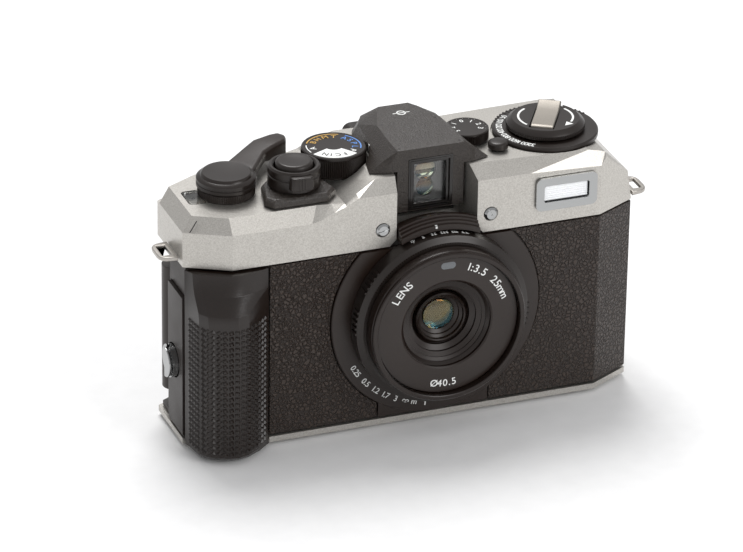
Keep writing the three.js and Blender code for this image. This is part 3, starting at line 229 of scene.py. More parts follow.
@dataclass(frozen=True)
class Glass(Finish):
    """Polished glass or clear plastic, with a thin coating where the film is above zero nanometres."""

    ior: float = 1.5
    film: float = 0.0

    def detail(self, tree: bpy.types.NodeTree, shader: bpy.types.Node, place: bpy.types.NodeSocket) -> None:
        """Let light through, and add faint wipe marks to the gloss."""
        shader.inputs["Transmission Weight"].default_value = 1.0
        shader.inputs["IOR"].default_value = self.ior
        if self.film > 0:
            shader.inputs["Thin Film Thickness"].default_value = self.film
            shader.inputs["Thin Film IOR"].default_value = 1.38
        marks = add_node(tree, "ShaderNodeTexNoise", {"Scale": 1 / (4 * MM), "Detail": 3.0}, {"Vector": place})
        gloss = add_node(
            tree, "ShaderNodeMapRange", {"To Min": self.roughness, "To Max": self.roughness + 0.04},
            {"Value": marks.outputs["Fac"]},
        )
        tree.links.new(gloss.outputs["Result"], shader.inputs["Roughness"])


# Aluminium-flake lacquer sprayed on a pressed cover: pale and satin, with a sparkle drawn a little coarser than real
SILVER = Finish("aluminium_flake_lacquer_sprayed", "#c9c6c0", 0.36, 0.8, "#b1ada7", 0.32, 0.22, 0.06)
# Baked enamel with a fine texture, as on a finder hood: dull, with pale specks painted into its colour as glints, a
# painted highlight
ENAMEL = Finish("black_enamel_baked", "#26201c", 0.38, 0.0, "#38322d", 0.46, 0.95)
# Anodised aluminium, bead-blasted and dyed black: even and satin with a very fine grain
ANODISED = Finish("black_anodised_aluminium_blasted", "#211b18", 0.34, 0.2, "#28211d", 0.2, 0.08)
# Anodised aluminium, turned and dyed black, a little glossier on its edges
ANODISED_TURNED = Finish("black_anodised_aluminium_turned", "#1f1713", 0.28, 0.2, "#261c17", 0.25, 0.05)
# ABS with a spark-eroded grain from its mould
ABS = Finish("black_abs_moulded", "#1f1713", 0.48, 0.0, "#261c17", 0.35, 0.25)
# ABS with a smooth satin mould face, on the lens plate
ABS_SATIN = Finish("black_abs_satin_moulded", "#1f140e", 0.38, 0.0, "#241811", 0.3, 0.12)
# Leather-pattern vinyl pressed on a black backing; its darker second colour is painted shade in the creases between the
# pebbles
VINYL = Leatherette("black_vinyl_leather_grain_pressed", "#33271f", 0.28, 0.0, "#241a14", 0.3, 1.0)
# Rubber with a dull moulded skin
RUBBER = Finish("black_rubber_moulded", "#180f0a", 0.34, 0.0, "#1d130d", 0.5, 0.1)
# Bright nickel and chromium over brass: mirror-like with faint haze
CHROME = Finish("bright_chromium_plated", "#a9aaaa", 0.14, 1.0, "", 0.6, 0.02, 0.06)
# Satin nickel, brushed after plating
NICKEL = Finish("satin_nickel_brushed", "#a9a5a0", 0.36, 1.0, "#bdb8b1", 0.2, 0.1, 0.08)
# Nickel silver, drawn and satin finished by hand on a belt: soft, darker than plated nickel
NICKEL_SILVER = Finish("nickel_silver_satin", "#837e77", 0.46, 1.0, "#8f8a83", 0.25, 0.1, 0.1)
# Steel, turned on a lathe
STEEL = Finish("steel_turned", "#a5a19d", 0.26, 1.0, "#95918d", 0.3, 0.06, 0.1)
# Spring steel, chemically blackened
BLACK_STEEL = Finish("steel_blackened", "#46423f", 0.38, 0.9, "#3a3633", 0.4, 0.05)
# Polyester sleeve shrunk over the cell: dark and even, with a soft shine
CELL_SLEEVE = Finish("dark_polyester_sleeve_shrunk", "#202225", 0.34, 0.0, "#26282b", 0.8, 0.03)
# Crown glass with a magnesium fluoride coat
COATED_GLASS = Glass("crown_glass_coated", "#eef2e6", 0.0, 0.0, film=260.0, ior=1.62)
# Plain acrylic windows, injection moulded
ACRYLIC = Glass("clear_acrylic_moulded", "#f6f6f4", 0.02, 0.0, ior=1.49)
# Solder mask over fibreglass board
SOLDER_MASK = Finish("green_solder_mask_cured", "#23513a", 0.35, 0.0, "#1d4531", 0.8, 0.08)
# Acetal, moulded, for the toothed drum and the counter disc
ACETAL = Finish("white_acetal_moulded", "#e2dfd9", 0.42, 0.0, "#d9d5ce", 0.6, 0.06)
# Inks, pad printed: flat and slightly soft at the surface
WHITE_INK = Finish("white_ink_pad_printed", "#f2f3f1", 0.55, 0.0, "#e9eae8", 0.3, 0.04)
GOLD_INK = Finish("gold_ink_pad_printed", "#c9a04c", 0.5, 0.0, "#bd9444", 0.3, 0.04)
BLUE_INK = Finish("blue_ink_pad_printed", "#5d8fd6", 0.5, 0.0, "#5586cc", 0.3, 0.04)
# Grey ABS behind the finder window
GREY_ABS = Finish("grey_abs_moulded", "#6b6c6d", 0.4, 0.0, "#646566", 0.4, 0.06)
GREY_INK = Finish("grey_ink_pad_printed", "#6f7275", 0.5, 0.0, "#686b6e", 0.3, 0.04)
# ABS from a polished mould, as on the inner steps of the finder window
GLOSS_ABS = Finish("black_abs_polished_moulded", "#1d1a19", 0.22, 0.0, "#221f1d", 0.4, 0.03)
# Aluminium sheet, bright-rolled, behind the flash tube
REFLECTOR = Finish("aluminium_sheet_bright_rolled", "#eceded", 0.18, 1.0, "#e2e3e3", 0.6, 0.03, 0.05)
# Uncoated crown glass behind the shutter
REAR_GLASS = Glass("crown_glass_plain", "#f2f4ee", 0.0, 0.0, ior=1.52)
# Milky acrylic, moulded with fresnel ribs, bright against the dark recess
FLASH_ACRYLIC = Finish("milky_acrylic_ribbed_moulded", "#fafbfd", 0.16, 0.0, "#f2f4f6", 0.5, 0.02)
BLACK_INK = Finish("black_ink_pad_printed", "#1f1c1b", 0.5, 0.0, "#262321", 0.3, 0.04)
# Painted board under soft light, for the floor
FLOOR = Finish("white_board_painted", "#f4f4f4", 0.7, 0.0, "#f1f1f1", 6.0, 0.01)


# ----------------------------------------------------------------------------------------------------------------
# Repeated forms, made with Geometry Nodes


class RepeatTree:
    """A Geometry Nodes tree with named inputs that is run once for each ring or field of small forms."""

    def __init__(self, name: str, sockets: dict[str, str]) -> None:
        """Start the tree and name its inputs.

        Args:
            name: The tree's name.
            sockets: Each input's name and socket type.
        """
        self.tree = bpy.data.node_groups.new(name, "GeometryNodeTree")
        self.keys: dict[str, str] = {}
        self.kinds = dict(sockets)
        for label, kind in sockets.items():
            item = self.tree.interface.new_socket(label, in_out="INPUT", socket_type=kind)
            self.keys[label] = item.identifier
        self.tree.interface.new_socket("Geometry", in_out="OUTPUT", socket_type="NodeSocketGeometry")
        self.given = add_node(self.tree, "NodeGroupInput")

    def end(self, instances: bpy.types.NodeSocket) -> None:
        """Turn the instances into one plain mesh with its material and send it out."""
        solid = add_node(self.tree, "GeometryNodeRealizeInstances", {}, {"Geometry": instances})
        dressed = add_node(
            self.tree, "GeometryNodeSetMaterial", {},
            {"Geometry": solid.outputs["Geometry"], "Material": self.given.outputs["Material"]},
        )
        add_node(self.tree, "NodeGroupOutput", {}, {"Geometry": dressed.outputs["Geometry"]})

    def run(self, name: str, carrier: bpy.types.Mesh | None, values: dict[str, Any]) -> bpy.types.Object:
        """Run the tree and keep its result as a plain mesh object.

        Args:
            name: The new object's name.
            carrier: The mesh that the tree starts from, if it needs one.
            values: The value of each named input.

        Returns:
            An object with no modifier left on it.
        """
        mesh = carrier or bpy.data.meshes.new(name)
        piece = bpy.data.objects.new(name, mesh)
        bpy.context.scene.collection.objects.link(piece)
        modifier = piece.modifiers.new("repeat", "NODES")
        modifier.node_group = self.tree
        for label, value in values.items():
            modifier[self.keys[label]] = float(value) if self.kinds[label] == "NodeSocketFloat" else value
        bpy.context.view_layer.update()
        graph = bpy.context.evaluated_depsgraph_get()
        made = bpy.data.meshes.new_from_object(piece.evaluated_get(graph))
        piece.modifiers.clear()
        piece.data = made
        return piece


class RibRing(RepeatTree):
    """Ribs stood round an axis, such as a knurl, a toothed edge or the finger ribs of a ring."""

    def __init__(self, form: Rib) -> None:
        """Build the tree for one form of rib."""
        super().__init__(f"ring_of_{form.value}_ribs", {
            "Count": "NodeSocketInt", "Radius": "NodeSocketFloat", "Start": "NodeSocketFloat",
            "Step": "NodeSocketFloat", "Level": "NodeSocketFloat", "Width": "NodeSocketFloat",
            "Height": "NodeSocketFloat", "Length": "NodeSocketFloat", "Material": "NodeSocketMaterial",
        })
        tree, out = self.tree, self.given.outputs
        line = add_node(tree, "GeometryNodeMeshLine", {"Offset": (0.0, 0.0, 0.001)}, {"Count": out["Count"]})
        index = add_node(tree, "GeometryNodeInputIndex")
        angle = add_node(
            tree, "ShaderNodeMath", {"operation": "MULTIPLY_ADD"},
            {0: index.outputs["Index"], 1: out["Step"], 2: out["Start"]},
        )
        cosine = add_node(tree, "ShaderNodeMath", {"operation": "COSINE"}, {0: angle.outputs[0]})
        sine = add_node(tree, "ShaderNodeMath", {"operation": "SINE"}, {0: angle.outputs[0]})
        across = add_node(tree, "ShaderNodeMath", {"operation": "MULTIPLY"}, {0: cosine.outputs[0], 1: out["Radius"]})
        along = add_node(tree, "ShaderNodeMath", {"operation": "MULTIPLY"}, {0: sine.outputs[0], 1: out["Radius"]})
        spot = add_node(
            tree, "ShaderNodeCombineXYZ", {}, {"X": across.outputs[0], "Y": along.outputs[0], "Z": out["Level"]},
        )
        stood = add_node(
            tree, "GeometryNodeSetPosition", {}, {"Geometry": line.outputs["Mesh"], "Position": spot.outputs["Vector"]},
        )
        turn = add_node(tree, "ShaderNodeCombineXYZ", {}, {"Z": angle.outputs[0]})
        size = add_node(
            tree, "ShaderNodeCombineXYZ", {}, {"X": out["Height"], "Y": out["Width"], "Z": out["Length"]},
        )
        if form is Rib.FLAT:
            shape = add_node(tree, "GeometryNodeMeshCube", {"Size": (1.0, 1.0, 1.0)})
        else:
            shape = add_node(tree, "GeometryNodeMeshCylinder", {"Vertices": 4, "Radius": 0.5, "Depth": 1.0})
        copies = add_node(
            tree, "GeometryNodeInstanceOnPoints", {},
            {"Points": stood.outputs["Geometry"], "Instance": shape.outputs["Mesh"], "Rotation": turn.outputs["Vector"],
             "Scale": size.outputs["Vector"]},
        )
        self.end(copies.outputs["Instances"])


class StudField(RepeatTree):
    """Small blunt pyramids stood on every vertex of a skin, square to it."""

    def __init__(self) -> None:
        """Build the tree."""
        super().__init__("field_of_studs", {
            "Geometry": "NodeSocketGeometry", "Width": "NodeSocketFloat", "Height": "NodeSocketFloat",
            "Material": "NodeSocketMaterial",
        })
        tree, out = self.tree, self.given.outputs
        half = add_node(tree, "ShaderNodeMath", {"operation": "MULTIPLY", 1: math.sqrt(0.5)}, {0: out["Width"]})
        tip = add_node(tree, "ShaderNodeMath", {"operation": "MULTIPLY", 1: 0.3}, {0: out["Width"]})
        stud = add_node(
            tree, "GeometryNodeMeshCone", {"Vertices": 4},
            {"Radius Top": tip.outputs[0], "Radius Bottom": half.outputs[0], "Depth": out["Height"]},
        )
        squared = add_node(
            tree, "GeometryNodeTransform", {"Rotation": (0.0, 0.0, math.pi / 4)}, {"Geometry": stud.outputs["Mesh"]},
        )
        normal = add_node(tree, "GeometryNodeInputNormal")
        stand = add_node(tree, "FunctionNodeAlignRotationToVector", {"axis": "Z"}, {"Vector": normal.outputs["Normal"]})
        copies = add_node(
            tree, "GeometryNodeInstanceOnPoints", {},
            {"Points": out["Geometry"], "Instance": squared.outputs["Geometry"], "Rotation": stand.outputs["Rotation"]},
        )
        self.end(copies.outputs["Instances"])


class SlottedScrew(RepeatTree):
    """A round screw head with a domed top and one slot, stood at each vertex of a carrier mesh."""

    def __init__(self) -> None:
        """Build the tree."""
        super().__init__("slotted_screws", {
            "Geometry": "NodeSocketGeometry", "Radius": "NodeSocketFloat", "Height": "NodeSocketFloat",
            "Slot": "NodeSocketFloat", "Turn": "NodeSocketFloat", "Material": "NodeSocketMaterial",
        })
        tree, out = self.tree, self.given.outputs
        dome_radius = add_node(tree, "ShaderNodeMath", {"operation": "MULTIPLY", 1: 0.72}, {0: out["Radius"]})
        low = add_node(tree, "ShaderNodeMath", {"operation": "MULTIPLY", 1: 0.5}, {0: out["Height"]})
        head = add_node(
            tree, "GeometryNodeMeshCone", {"Vertices": 40},
            {"Radius Top": dome_radius.outputs[0], "Radius Bottom": out["Radius"], "Depth": low.outputs[0]},
        )
        base = add_node(
            tree, "GeometryNodeMeshCylinder", {"Vertices": 40}, {"Radius": out["Radius"], "Depth": low.outputs[0]},
        )
        drop = add_node(tree, "ShaderNodeMath", {"operation": "MULTIPLY", 1: -0.5}, {0: low.outputs[0]})
        drop_vector = add_node(tree, "ShaderNodeCombineXYZ", {}, {"Z": drop.outputs[0]})
        lowered = add_node(
            tree, "GeometryNodeTransform", {}, {"Geometry": base.outputs["Mesh"], "Translation": drop_vector.outputs["Vector"]},
        )
        whole = add_node(
            tree, "GeometryNodeMeshBoolean", {"operation": "UNION"}, {"Mesh 2": head.outputs["Mesh"]},
        )
        tree.links.new(lowered.outputs["Geometry"], whole.inputs["Mesh 2"])
        length = add_node(tree, "ShaderNodeMath", {"operation": "MULTIPLY", 1: 3.0}, {0: out["Radius"]})
        tool = add_node(
            tree, "ShaderNodeCombineXYZ", {}, {"X": length.outputs[0], "Y": out["Slot"], "Z": low.outputs[0]},
        )
        cutter = add_node(tree, "GeometryNodeMeshCube", {}, {"Size": tool.outputs["Vector"]})
        raise_by = add_node(tree, "ShaderNodeCombineXYZ", {}, {"Z": low.outputs[0]})
        raised = add_node(
            tree, "GeometryNodeTransform", {}, {"Geometry": cutter.outputs["Mesh"], "Translation": raise_by.outputs["Vector"]},
        )
        slotted = add_node(
            tree, "GeometryNodeMeshBoolean", {"operation": "DIFFERENCE"},
            {"Mesh 1": whole.outputs["Mesh"], "Mesh 2": raised.outputs["Geometry"]},
        )
        turn = add_node(tree, "ShaderNodeCombineXYZ", {}, {"Z": out["Turn"]})
        copies = add_node(
            tree, "GeometryNodeInstanceOnPoints", {},
            {"Points": out["Geometry"], "Instance": slotted.outputs["Mesh"], "Rotation": turn.outputs["Vector"]},
        )
        self.end(copies.outputs["Instances"])


# ----------------------------------------------------------------------------------------------------------------
# Mesh making


def standing(axis: Axis, centre: Point) -> Matrix:
    """The matrix that puts a piece, turned about its own Z in millimetres, in its place in metres.

    Args:
        axis: Which way its own +Z looks.
        centre: Where its own origin goes, in millimetres.

    Returns:
        A matrix from millimetres to the frame's metres.
    """
    columns = {
        Axis.UP: ((1, 0, 0), (0, 1, 0), (0, 0, 1)),
        Axis.LENS: ((1, 0, 0), (0, 0, 1), (0, -1, 0)),
        Axis.LEFT: ((0, -1, 0), (0, 0, 1), (-1, 0, 0)),
    }[axis]
    turn = Matrix(columns).transposed().to_4x4()
    return Matrix.Scale(MM, 4) @ Matrix.Translation(centre) @ turn


class Workshop:
    """Makes meshes, dresses them, and hangs them on the camera's bodies."""

    def __init__(self) -> None:
        """Build the repeat trees once."""
        self.flat_ribs = RibRing(Rib.FLAT)
        self.ridges = RibRing(Rib.RIDGE)
        self.studs = StudField()
        self.screws = SlottedScrew()

    def keep(self, name: str, form: bmesh.types.BMesh, place: Matrix, smooth: float = 32.0) -> bpy.types.Object:
        """Turn a form into an object in its place, with its faces pointing outwards.

        Args:
            name: The object's name.
            form: The form, in its own millimetres.
            place: From the form's millimetres to metres.
            smooth: Edges that turn by less than this many degrees are shaded smooth.

        Returns:
            The new object.
        """
        bmesh.ops.remove_doubles(form, verts=form.verts, dist=1e-5)
        bmesh.ops.recalc_face_normals(form, faces=form.faces)
        mesh = bpy.data.meshes.new(name)
        form.to_mesh(mesh)
        form.free()
        mesh.transform(place)
        mesh.polygons.foreach_set("use_smooth", [True] * len(mesh.polygons))
        mesh.set_sharp_from_angle(angle=math.radians(smooth))
        piece = bpy.data.objects.new(name, mesh)
        bpy.context.scene.collection.objects.link(piece)
        return piece

    def turned(
        self, name: str, profile: Profile, place: Matrix, segments: int = 96, bevel: float = 0.0,
    ) -> bpy.types.Object:
        """Turn a closed profile of radius and height about its own Z.

        Args:
            name: The object's name.
            profile: Points in order round the section; those at radius zero lie on the axis.
            place: From the piece's millimetres to metres.
            segments: Steps round the axis.
            bevel: Width of the rounding on its turned edges.

        Returns:
            The new object.
        """
        form = bmesh.new()
        rings = []
        for radius, height in profile:
            if radius < 1e-6:
                rings.append([form.verts.new((0, 0, height))])
                continue
            step = 2 * math.pi / segments
            rings.append([
                form.verts.new((radius * math.cos(i * step), radius * math.sin(i * step), height))
                for i in range(segments)
            ])
        closed = profile[0][0] > 1e-6 or profile[-1][0] > 1e-6
        pairs = list(zip(rings, rings[1:])) + ([(rings[-1], rings[0])] if closed else [])
        for low, high in pairs:
            if len(low) == 1 and len(high) == 1:
                continue
            for i in range(segments):
                j = (i + 1) % segments
                corners = [low[i % len(low)], low[j % len(low)], high[j % len(high)], high[i % len(high)]]
                form.faces.new(dict.fromkeys(corners))
        if bevel > 0:
            self.round_edges(form, bevel, 25.0)
        return self.keep(name, form, place)

    def round_edges(self, form: bmesh.types.BMesh, width: float, angle: float, segments: int = 2) -> None:
        """Round every edge that turns by more than an angle in degrees."""
        bmesh.ops.recalc_face_normals(form, faces=form.faces)
        sharp = [e for e in form.edges if e.is_manifold and e.calc_face_angle(0.0) > math.radians(angle)]
        bmesh.ops.bevel(
            form, geom=sharp, offset=width, offset_type="OFFSET", segments=segments, profile=0.5,
            affect="EDGES", clamp_overlap=True,
        )

    def softened(
        self, node: str, width: float, name: str = "", angle: float = 28.0, segments: int = 2,
    ) -> bpy.types.Object:
        """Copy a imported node's shape, merge it and round its edges.

        Args:
            node: The node's name.
            width: The rounding's width in millimetres.
            name: The new object's name, or the node's name with an ending.
            angle: Edges that turn by more than this many degrees are rounded.
            segments: Steps across the rounding.

        Returns:
            The new object.
        """
        form = bmesh.new()
        form.from_mesh(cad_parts[node].data)
        bmesh.ops.scale(form, vec=(1 / MM,) * 3, verts=form.verts)
        bmesh.ops.remove_doubles(form, verts=form.verts, dist=2e-3)
        bmesh.ops.dissolve_limit(form, angle_limit=math.radians(0.6), verts=form.verts, edges=form.edges)
        bmesh.ops.recalc_face_normals(form, faces=form.faces)
        self.round_edges(form, width, angle, segments)
        piece = self.keep(name or f"{node}_finished", form, Matrix.Scale(MM, 4), 50.0)
        self.level_normals(piece)
        return piece

    def level_normals(self, piece: bpy.types.Object) -> None:
        """Weight a piece's normals by face size, so its flats stay flat up to their rounded edges."""
        modifier = piece.modifiers.new("level", "WEIGHTED_NORMAL")
        modifier.mode = "FACE_AREA"
        modifier.weight = 80
        modifier.keep_sharp = True
        bpy.context.view_layer.update()
        graph = bpy.context.evaluated_depsgraph_get()
        made = bpy.data.meshes.new_from_object(piece.evaluated_get(graph))
        piece.modifiers.clear()
        piece.data = made

    def loft(self, name: str, sections: Sequence[Sequence[Point]], place: Matrix, bevel: float = 0.0) -> bpy.types.Object:
        """Skin a closed form through sections with the same number of points."""
        form = bmesh.new()
        rings = [[form.verts.new(p) for p in section] for section in sections]
        count = len(rings[0])
        for low, high in zip(rings, rings[1:]):
            for i in range(count):
                j = (i + 1) % count
                form.faces.new((low[i], low[j], high[j], high[i]))
        form.faces.new(rings[0][::-1])
        form.faces.new(rings[-1])
        if bevel > 0:
            self.round_edges(form, bevel, 24.0, 3)
        return self.keep(name, form, place)

    def cut(self, piece: bpy.types.Object, tool: bpy.types.Object) -> None:
        """Cut a tool's shape out of a piece, and remove the tool."""
        modifier = piece.modifiers.new("cut", "BOOLEAN")
        modifier.operation = "DIFFERENCE"
        modifier.solver = "EXACT"
        modifier.object = tool
        bpy.context.view_layer.update()
        graph = bpy.context.evaluated_depsgraph_get()
        made = bpy.data.meshes.new_from_object(piece.evaluated_get(graph))
        piece.modifiers.clear()
        piece.data = made
        bpy.data.objects.remove(tool)
        piece.data.set_sharp_from_angle(angle=math.radians(30))

    def block(self, name: str, low: Point, high: Point, place: Matrix, bevel: float = 0.0) -> bpy.types.Object:
        """A box between two corners, with rounded edges where a bevel is given."""
        form = bmesh.new()
        bmesh.ops.create_cube(form, size=1.0)
        size = Vector(high) - Vector(low)
        bmesh.ops.scale(form, vec=size, verts=form.verts)
        bmesh.ops.translate(form, vec=(Vector(low) + Vector(high)) / 2, verts=form.verts)
        if bevel > 0:
            self.round_edges(form, bevel, 24.0, 3)
        return self.keep(name, form, place)

    def ribs(
        self, name: str, form: Rib, place: Matrix, finish: Finish, count: int, radius: float, level: float,
        width: float, height: float, length: float, start: float = 0.0, step: float = 0.0,
    ) -> bpy.types.Object:
        """Stand ribs round an axis. Sizes are in millimetres and angles in degrees; a step of zero closes the ring."""
        tree = self.flat_ribs if form is Rib.FLAT else self.ridges
        piece = tree.run(name, None, {
            "Count": count, "Radius": radius, "Level": level, "Width": width, "Height": height, "Length": length,
            "Start": math.radians(start), "Step": math.radians(step) if step else 2 * math.pi / count,
            "Material": finish.build(),
        })
        piece.data.transform(place)
        return piece

    def lettering(
        self, name: str, marks: Iterable[tuple[str, float, Matrix]], place: Matrix,
    ) -> bpy.types.Object:
        """Print short marks as one thin raised mesh.

        Args:
            name: The object's name.
            marks: Each text, its letter height in millimetres, and its own matrix in millimetres.
            place: From millimetres to metres.

        Returns:
            The new object.
        """
        whole = bmesh.new()
        for text, size, spot in marks:
            curve = bpy.data.curves.new(name + "_mark", "FONT")
            curve.body = text
            curve.size = size * 1.38
            curve.offset = size * 0.012
            curve.extrude = 0.02
            curve.align_x = "CENTER"
            curve.align_y = "CENTER"
            writer = bpy.data.objects.new(name + "_mark", curve)
            bpy.context.scene.collection.objects.link(writer)
            bpy.context.view_layer.update()
            graph = bpy.context.evaluated_depsgraph_get()
            mesh = bpy.data.meshes.new_from_object(writer.evaluated_get(graph))
            mesh.transform(spot)
            whole.from_mesh(mesh)
            bpy.data.objects.remove(writer)
        mesh = bpy.data.meshes.new(name)
        whole.to_mesh(mesh)
        whole.free()
        mesh.transform(place)
        piece = bpy.data.objects.new(name, mesh)
        bpy.context.scene.collection.objects.link(piece)
        return piece

    def round_face(
        self, text: str, size: float, radius: float, middle: float, level: float, spread: float = 0.78, inward: bool = True,
    ) -> list[tuple[str, float, Matrix]]:
        """Marks for letters set one by one along a circle on a flat face.

        Args:
            text: The letters.
            size: Their height.
            radius: The circle's radius at the letters' middle.
            middle: The angle of the text's middle, anticlockwise from its own +X.
            level: The face's height.
            spread: Letter pitch as a share of the size.
            inward: Whether the letters' feet point to the centre.

        Returns:
            One mark for each letter.
        """
        widths = [0.55 if c in "1.:,il|" else (1.25 if c in "mMWw" else 1.0) for c in text]
        total = sum(widths)
        marks = []
        done = 0.0
        for letter, width in zip(text, widths):
            offset = (done + width / 2 - total / 2) * size * spread / radius
            done += width
            if letter == " ":
                continue
            angle = math.radians(middle) + (-offset if inward else offset)
            turn = angle - math.pi / 2 if inward else angle + math.pi / 2
            spot = Matrix.Translation((radius * math.cos(angle), radius * math.sin(angle), level)) @ Matrix.Rotation(turn, 4, "Z")
            marks.append((letter, size, spot))
        return marks

    def fit(
        self, piece: bpy.types.Object, finish: Finish | None, body: str, slot: str, replaces: Sequence[str] = (),
    ) -> bpy.types.Object:
        """Give a piece its finish, its body and the nodes that it stands for."""
        if finish:
            piece.data.materials.clear()
            piece.data.materials.append(finish.build())
        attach(piece, body)
        if replaces:
            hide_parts(*replaces)
        LOG.info("%s on %s, %d faces", piece.name, body, len(piece.data.polygons))
        return piece

    def dress(self, node: str, finish: Finish) -> None:
        """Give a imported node, which stays in view, a real finish."""
        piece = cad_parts[node]
        piece.data.materials.clear()
        piece.data.materials.append(finish.build())
        LOG.info("%s keeps its packed shape", node)


# ----------------------------------------------------------------------------------------------------------------
# Sub-assemblies


@dataclass
class Housing:
    """Top and bottom covers, the casting between them, its leather, its screws and its lugs."""

    shop: Workshop
    edge: float = 0.5
    thin_edge: float = 0.2
    screw_radius: float = 1.85
    screw_height: float = 0.5
    front_screws: tuple[Point, ...] = ((-10.09, -19.12, 58.4), (20.29, -19.12, 58.4))
    front_turns: tuple[float, ...] = (8.0, -62.0)
    base_screws: tuple[Point, ...] = ((-51.2, 0.0, 1.45), (-33.2, 13.0, 1.45), (51.2, 9.0, 1.45), (49.2, -12.0, 1.45))

    def build(self) -> None:
        """Build every piece of the housing."""
        shop = self.shop
        shop.fit(shop.softened("top_cover", self.edge, angle=9.0, segments=3), SILVER, "root", "silver_paint", ["top_cover"])
        shop.fit(shop.softened("bottom_cover", 0.3), SILVER, "root", "silver_paint", ["bottom_cover"])
        shop.dress("body_casting", ABS)
        for node in ("leather_left", "leather_right"):
            shop.fit(shop.softened(node, self.thin_edge), VINYL, "root", "leatherette", [node])
        for node in ("strap_lug_left", "strap_lug_right"):
            shop.fit(shop.softened(node, 0.3, segments=3), NICKEL, "root", "chrome", [node])
        shop.dress("tripod_socket", STEEL)
        shop.dress("rewind_release_button", STEEL)
        shop.dress("hinge_pin", STEEL)
        shop.dress("door_latch", STEEL)
        shop.dress("circuit_board", SOLDER_MASK)
        shop.dress("battery", CELL_SLEEVE)
        self.end_line()
        self.screws()

    def end_line(self) -> None:
        """Lay the thin engraved line on the bevel at the left end."""
        low, high = Vector((-61.9, -14.9, 64.0)), Vector((-60.0, -14.9, 67.05))
        shop = self.shop
        line = shop.block("end_bevel_line", (-0.1, -0.1, 0.0), (0.1, 0.1, (high - low).length), Matrix.Identity(4))
        spin = (high - low).to_track_quat("Z", "Y").to_matrix().to_4x4()
        line.data.transform(Matrix.Scale(MM, 4) @ Matrix.Translation(low) @ spin)
        shop.fit(line, BLACK_INK, "root", "black_plastic")

    def screws(self) -> None:
        """Stand the slotted screws of the front and of the base."""
        shop = self.shop
        for side, centre, turn in zip(("left", "right"), self.front_screws, self.front_turns):
            form = bmesh.new()
            form.verts.new((0, 0, 0))
            mesh = bpy.data.meshes.new("front_screw")
            form.to_mesh(mesh)
            form.free()
            head = shop.screws.run(f"front_screw_{side}_head", mesh, {
                "Radius": self.screw_radius, "Height": self.screw_height * 2, "Slot": 0.42, "Turn": math.radians(turn),
                "Material": CHROME.build(),
            })
            head.data.transform(standing(Axis.LENS, centre))
            shop.fit(head, None, "root", "steel")
            shop.dress(f"front_screw_{side}", CHROME)
        form = bmesh.new()
        for centre in self.base_screws:
            form.verts.new((centre[0], -centre[1], -centre[2]))
        mesh = bpy.data.meshes.new("base_screws")
        form.to_mesh(mesh)
        form.free()
        heads = shop.screws.run("base_screws", mesh, {
            "Radius": 1.6, "Height": 0.8, "Slot": 0.4, "Turn": 0.4, "Material": STEEL.build(),
        })
        flip = Matrix(((1, 0, 0, 0), (0, -1, 0, 0), (0, 0, -1, 0), (0, 0, 0, 1)))
        heads.data.transform(Matrix.Scale(MM, 4) @ flip)
        shop.fit(heads, None, "root", "steel")


@dataclass
class Grip:
    """Rubber grip with a studded face under a smooth scoop."""

    shop: Workshop
    left_end: float = -63.2
    front: float = -19.0
    section: tuple[tuple[float, float], ...] = (
        (0.9, 3.3), (1.6, -2.3), (3.3, -5.1), (7.5, -7.4), (10.6, -8.0), (13.7, -7.2), (17.6, -4.5), (20.6, -1.4),
    )
    low: float = 3.6
    high: float = 39.6
    pitch: float = 1.62
    stud_height: float = 0.46

    def build(self) -> None:
        """Build the grip and its studs."""
        body = self.shop.softened("grip", 0.5, angle=20.0, segments=3)
        self.shop.fit(body, RUBBER, "root", "grip_rubber", ["grip"])
        studs = self.shop.studs.run("grip_studs", self.skin(), {
            "Width": self.pitch * 0.74, "Height": self.stud_height, "Material": RUBBER.build(),
        })
        studs.data.transform(Matrix.Scale(MM, 4))
        self.shop.fit(studs, None, "root", "grip_rubber")

    def skin(self) -> bpy.types.Mesh:
        """Lay a square grid along the grip's section, one vertex for each stud."""
        points = [Vector((self.left_end + x, self.front + y)) for x, y in self.section]
        spans = [(b - a).length for a, b in zip(points, points[1:])]
        across = int(sum(spans) // self.pitch)
        columns = []
        for i in range(across + 1):
            along = i * self.pitch + 0.3
            for (a, b), span in zip(zip(points, points[1:]), spans):
                if along <= span:
                    columns.append(a.lerp(b, along / span))
                    break
                along -= span
        levels = int((self.high - self.low) // self.pitch)
        form = bmesh.new()
        rows = [
            [form.verts.new((p.x, p.y, self.low + j * self.pitch)) for p in columns] for j in range(levels + 1)
        ]
        for low, high in zip(rows, rows[1:]):
            for i in range(len(columns) - 1):
                form.faces.new((low[i], low[i + 1], high[i + 1], high[i]))
        mesh = bpy.data.meshes.new("grip_skin")
        form.to_mesh(mesh)
        form.free()
        return mesh


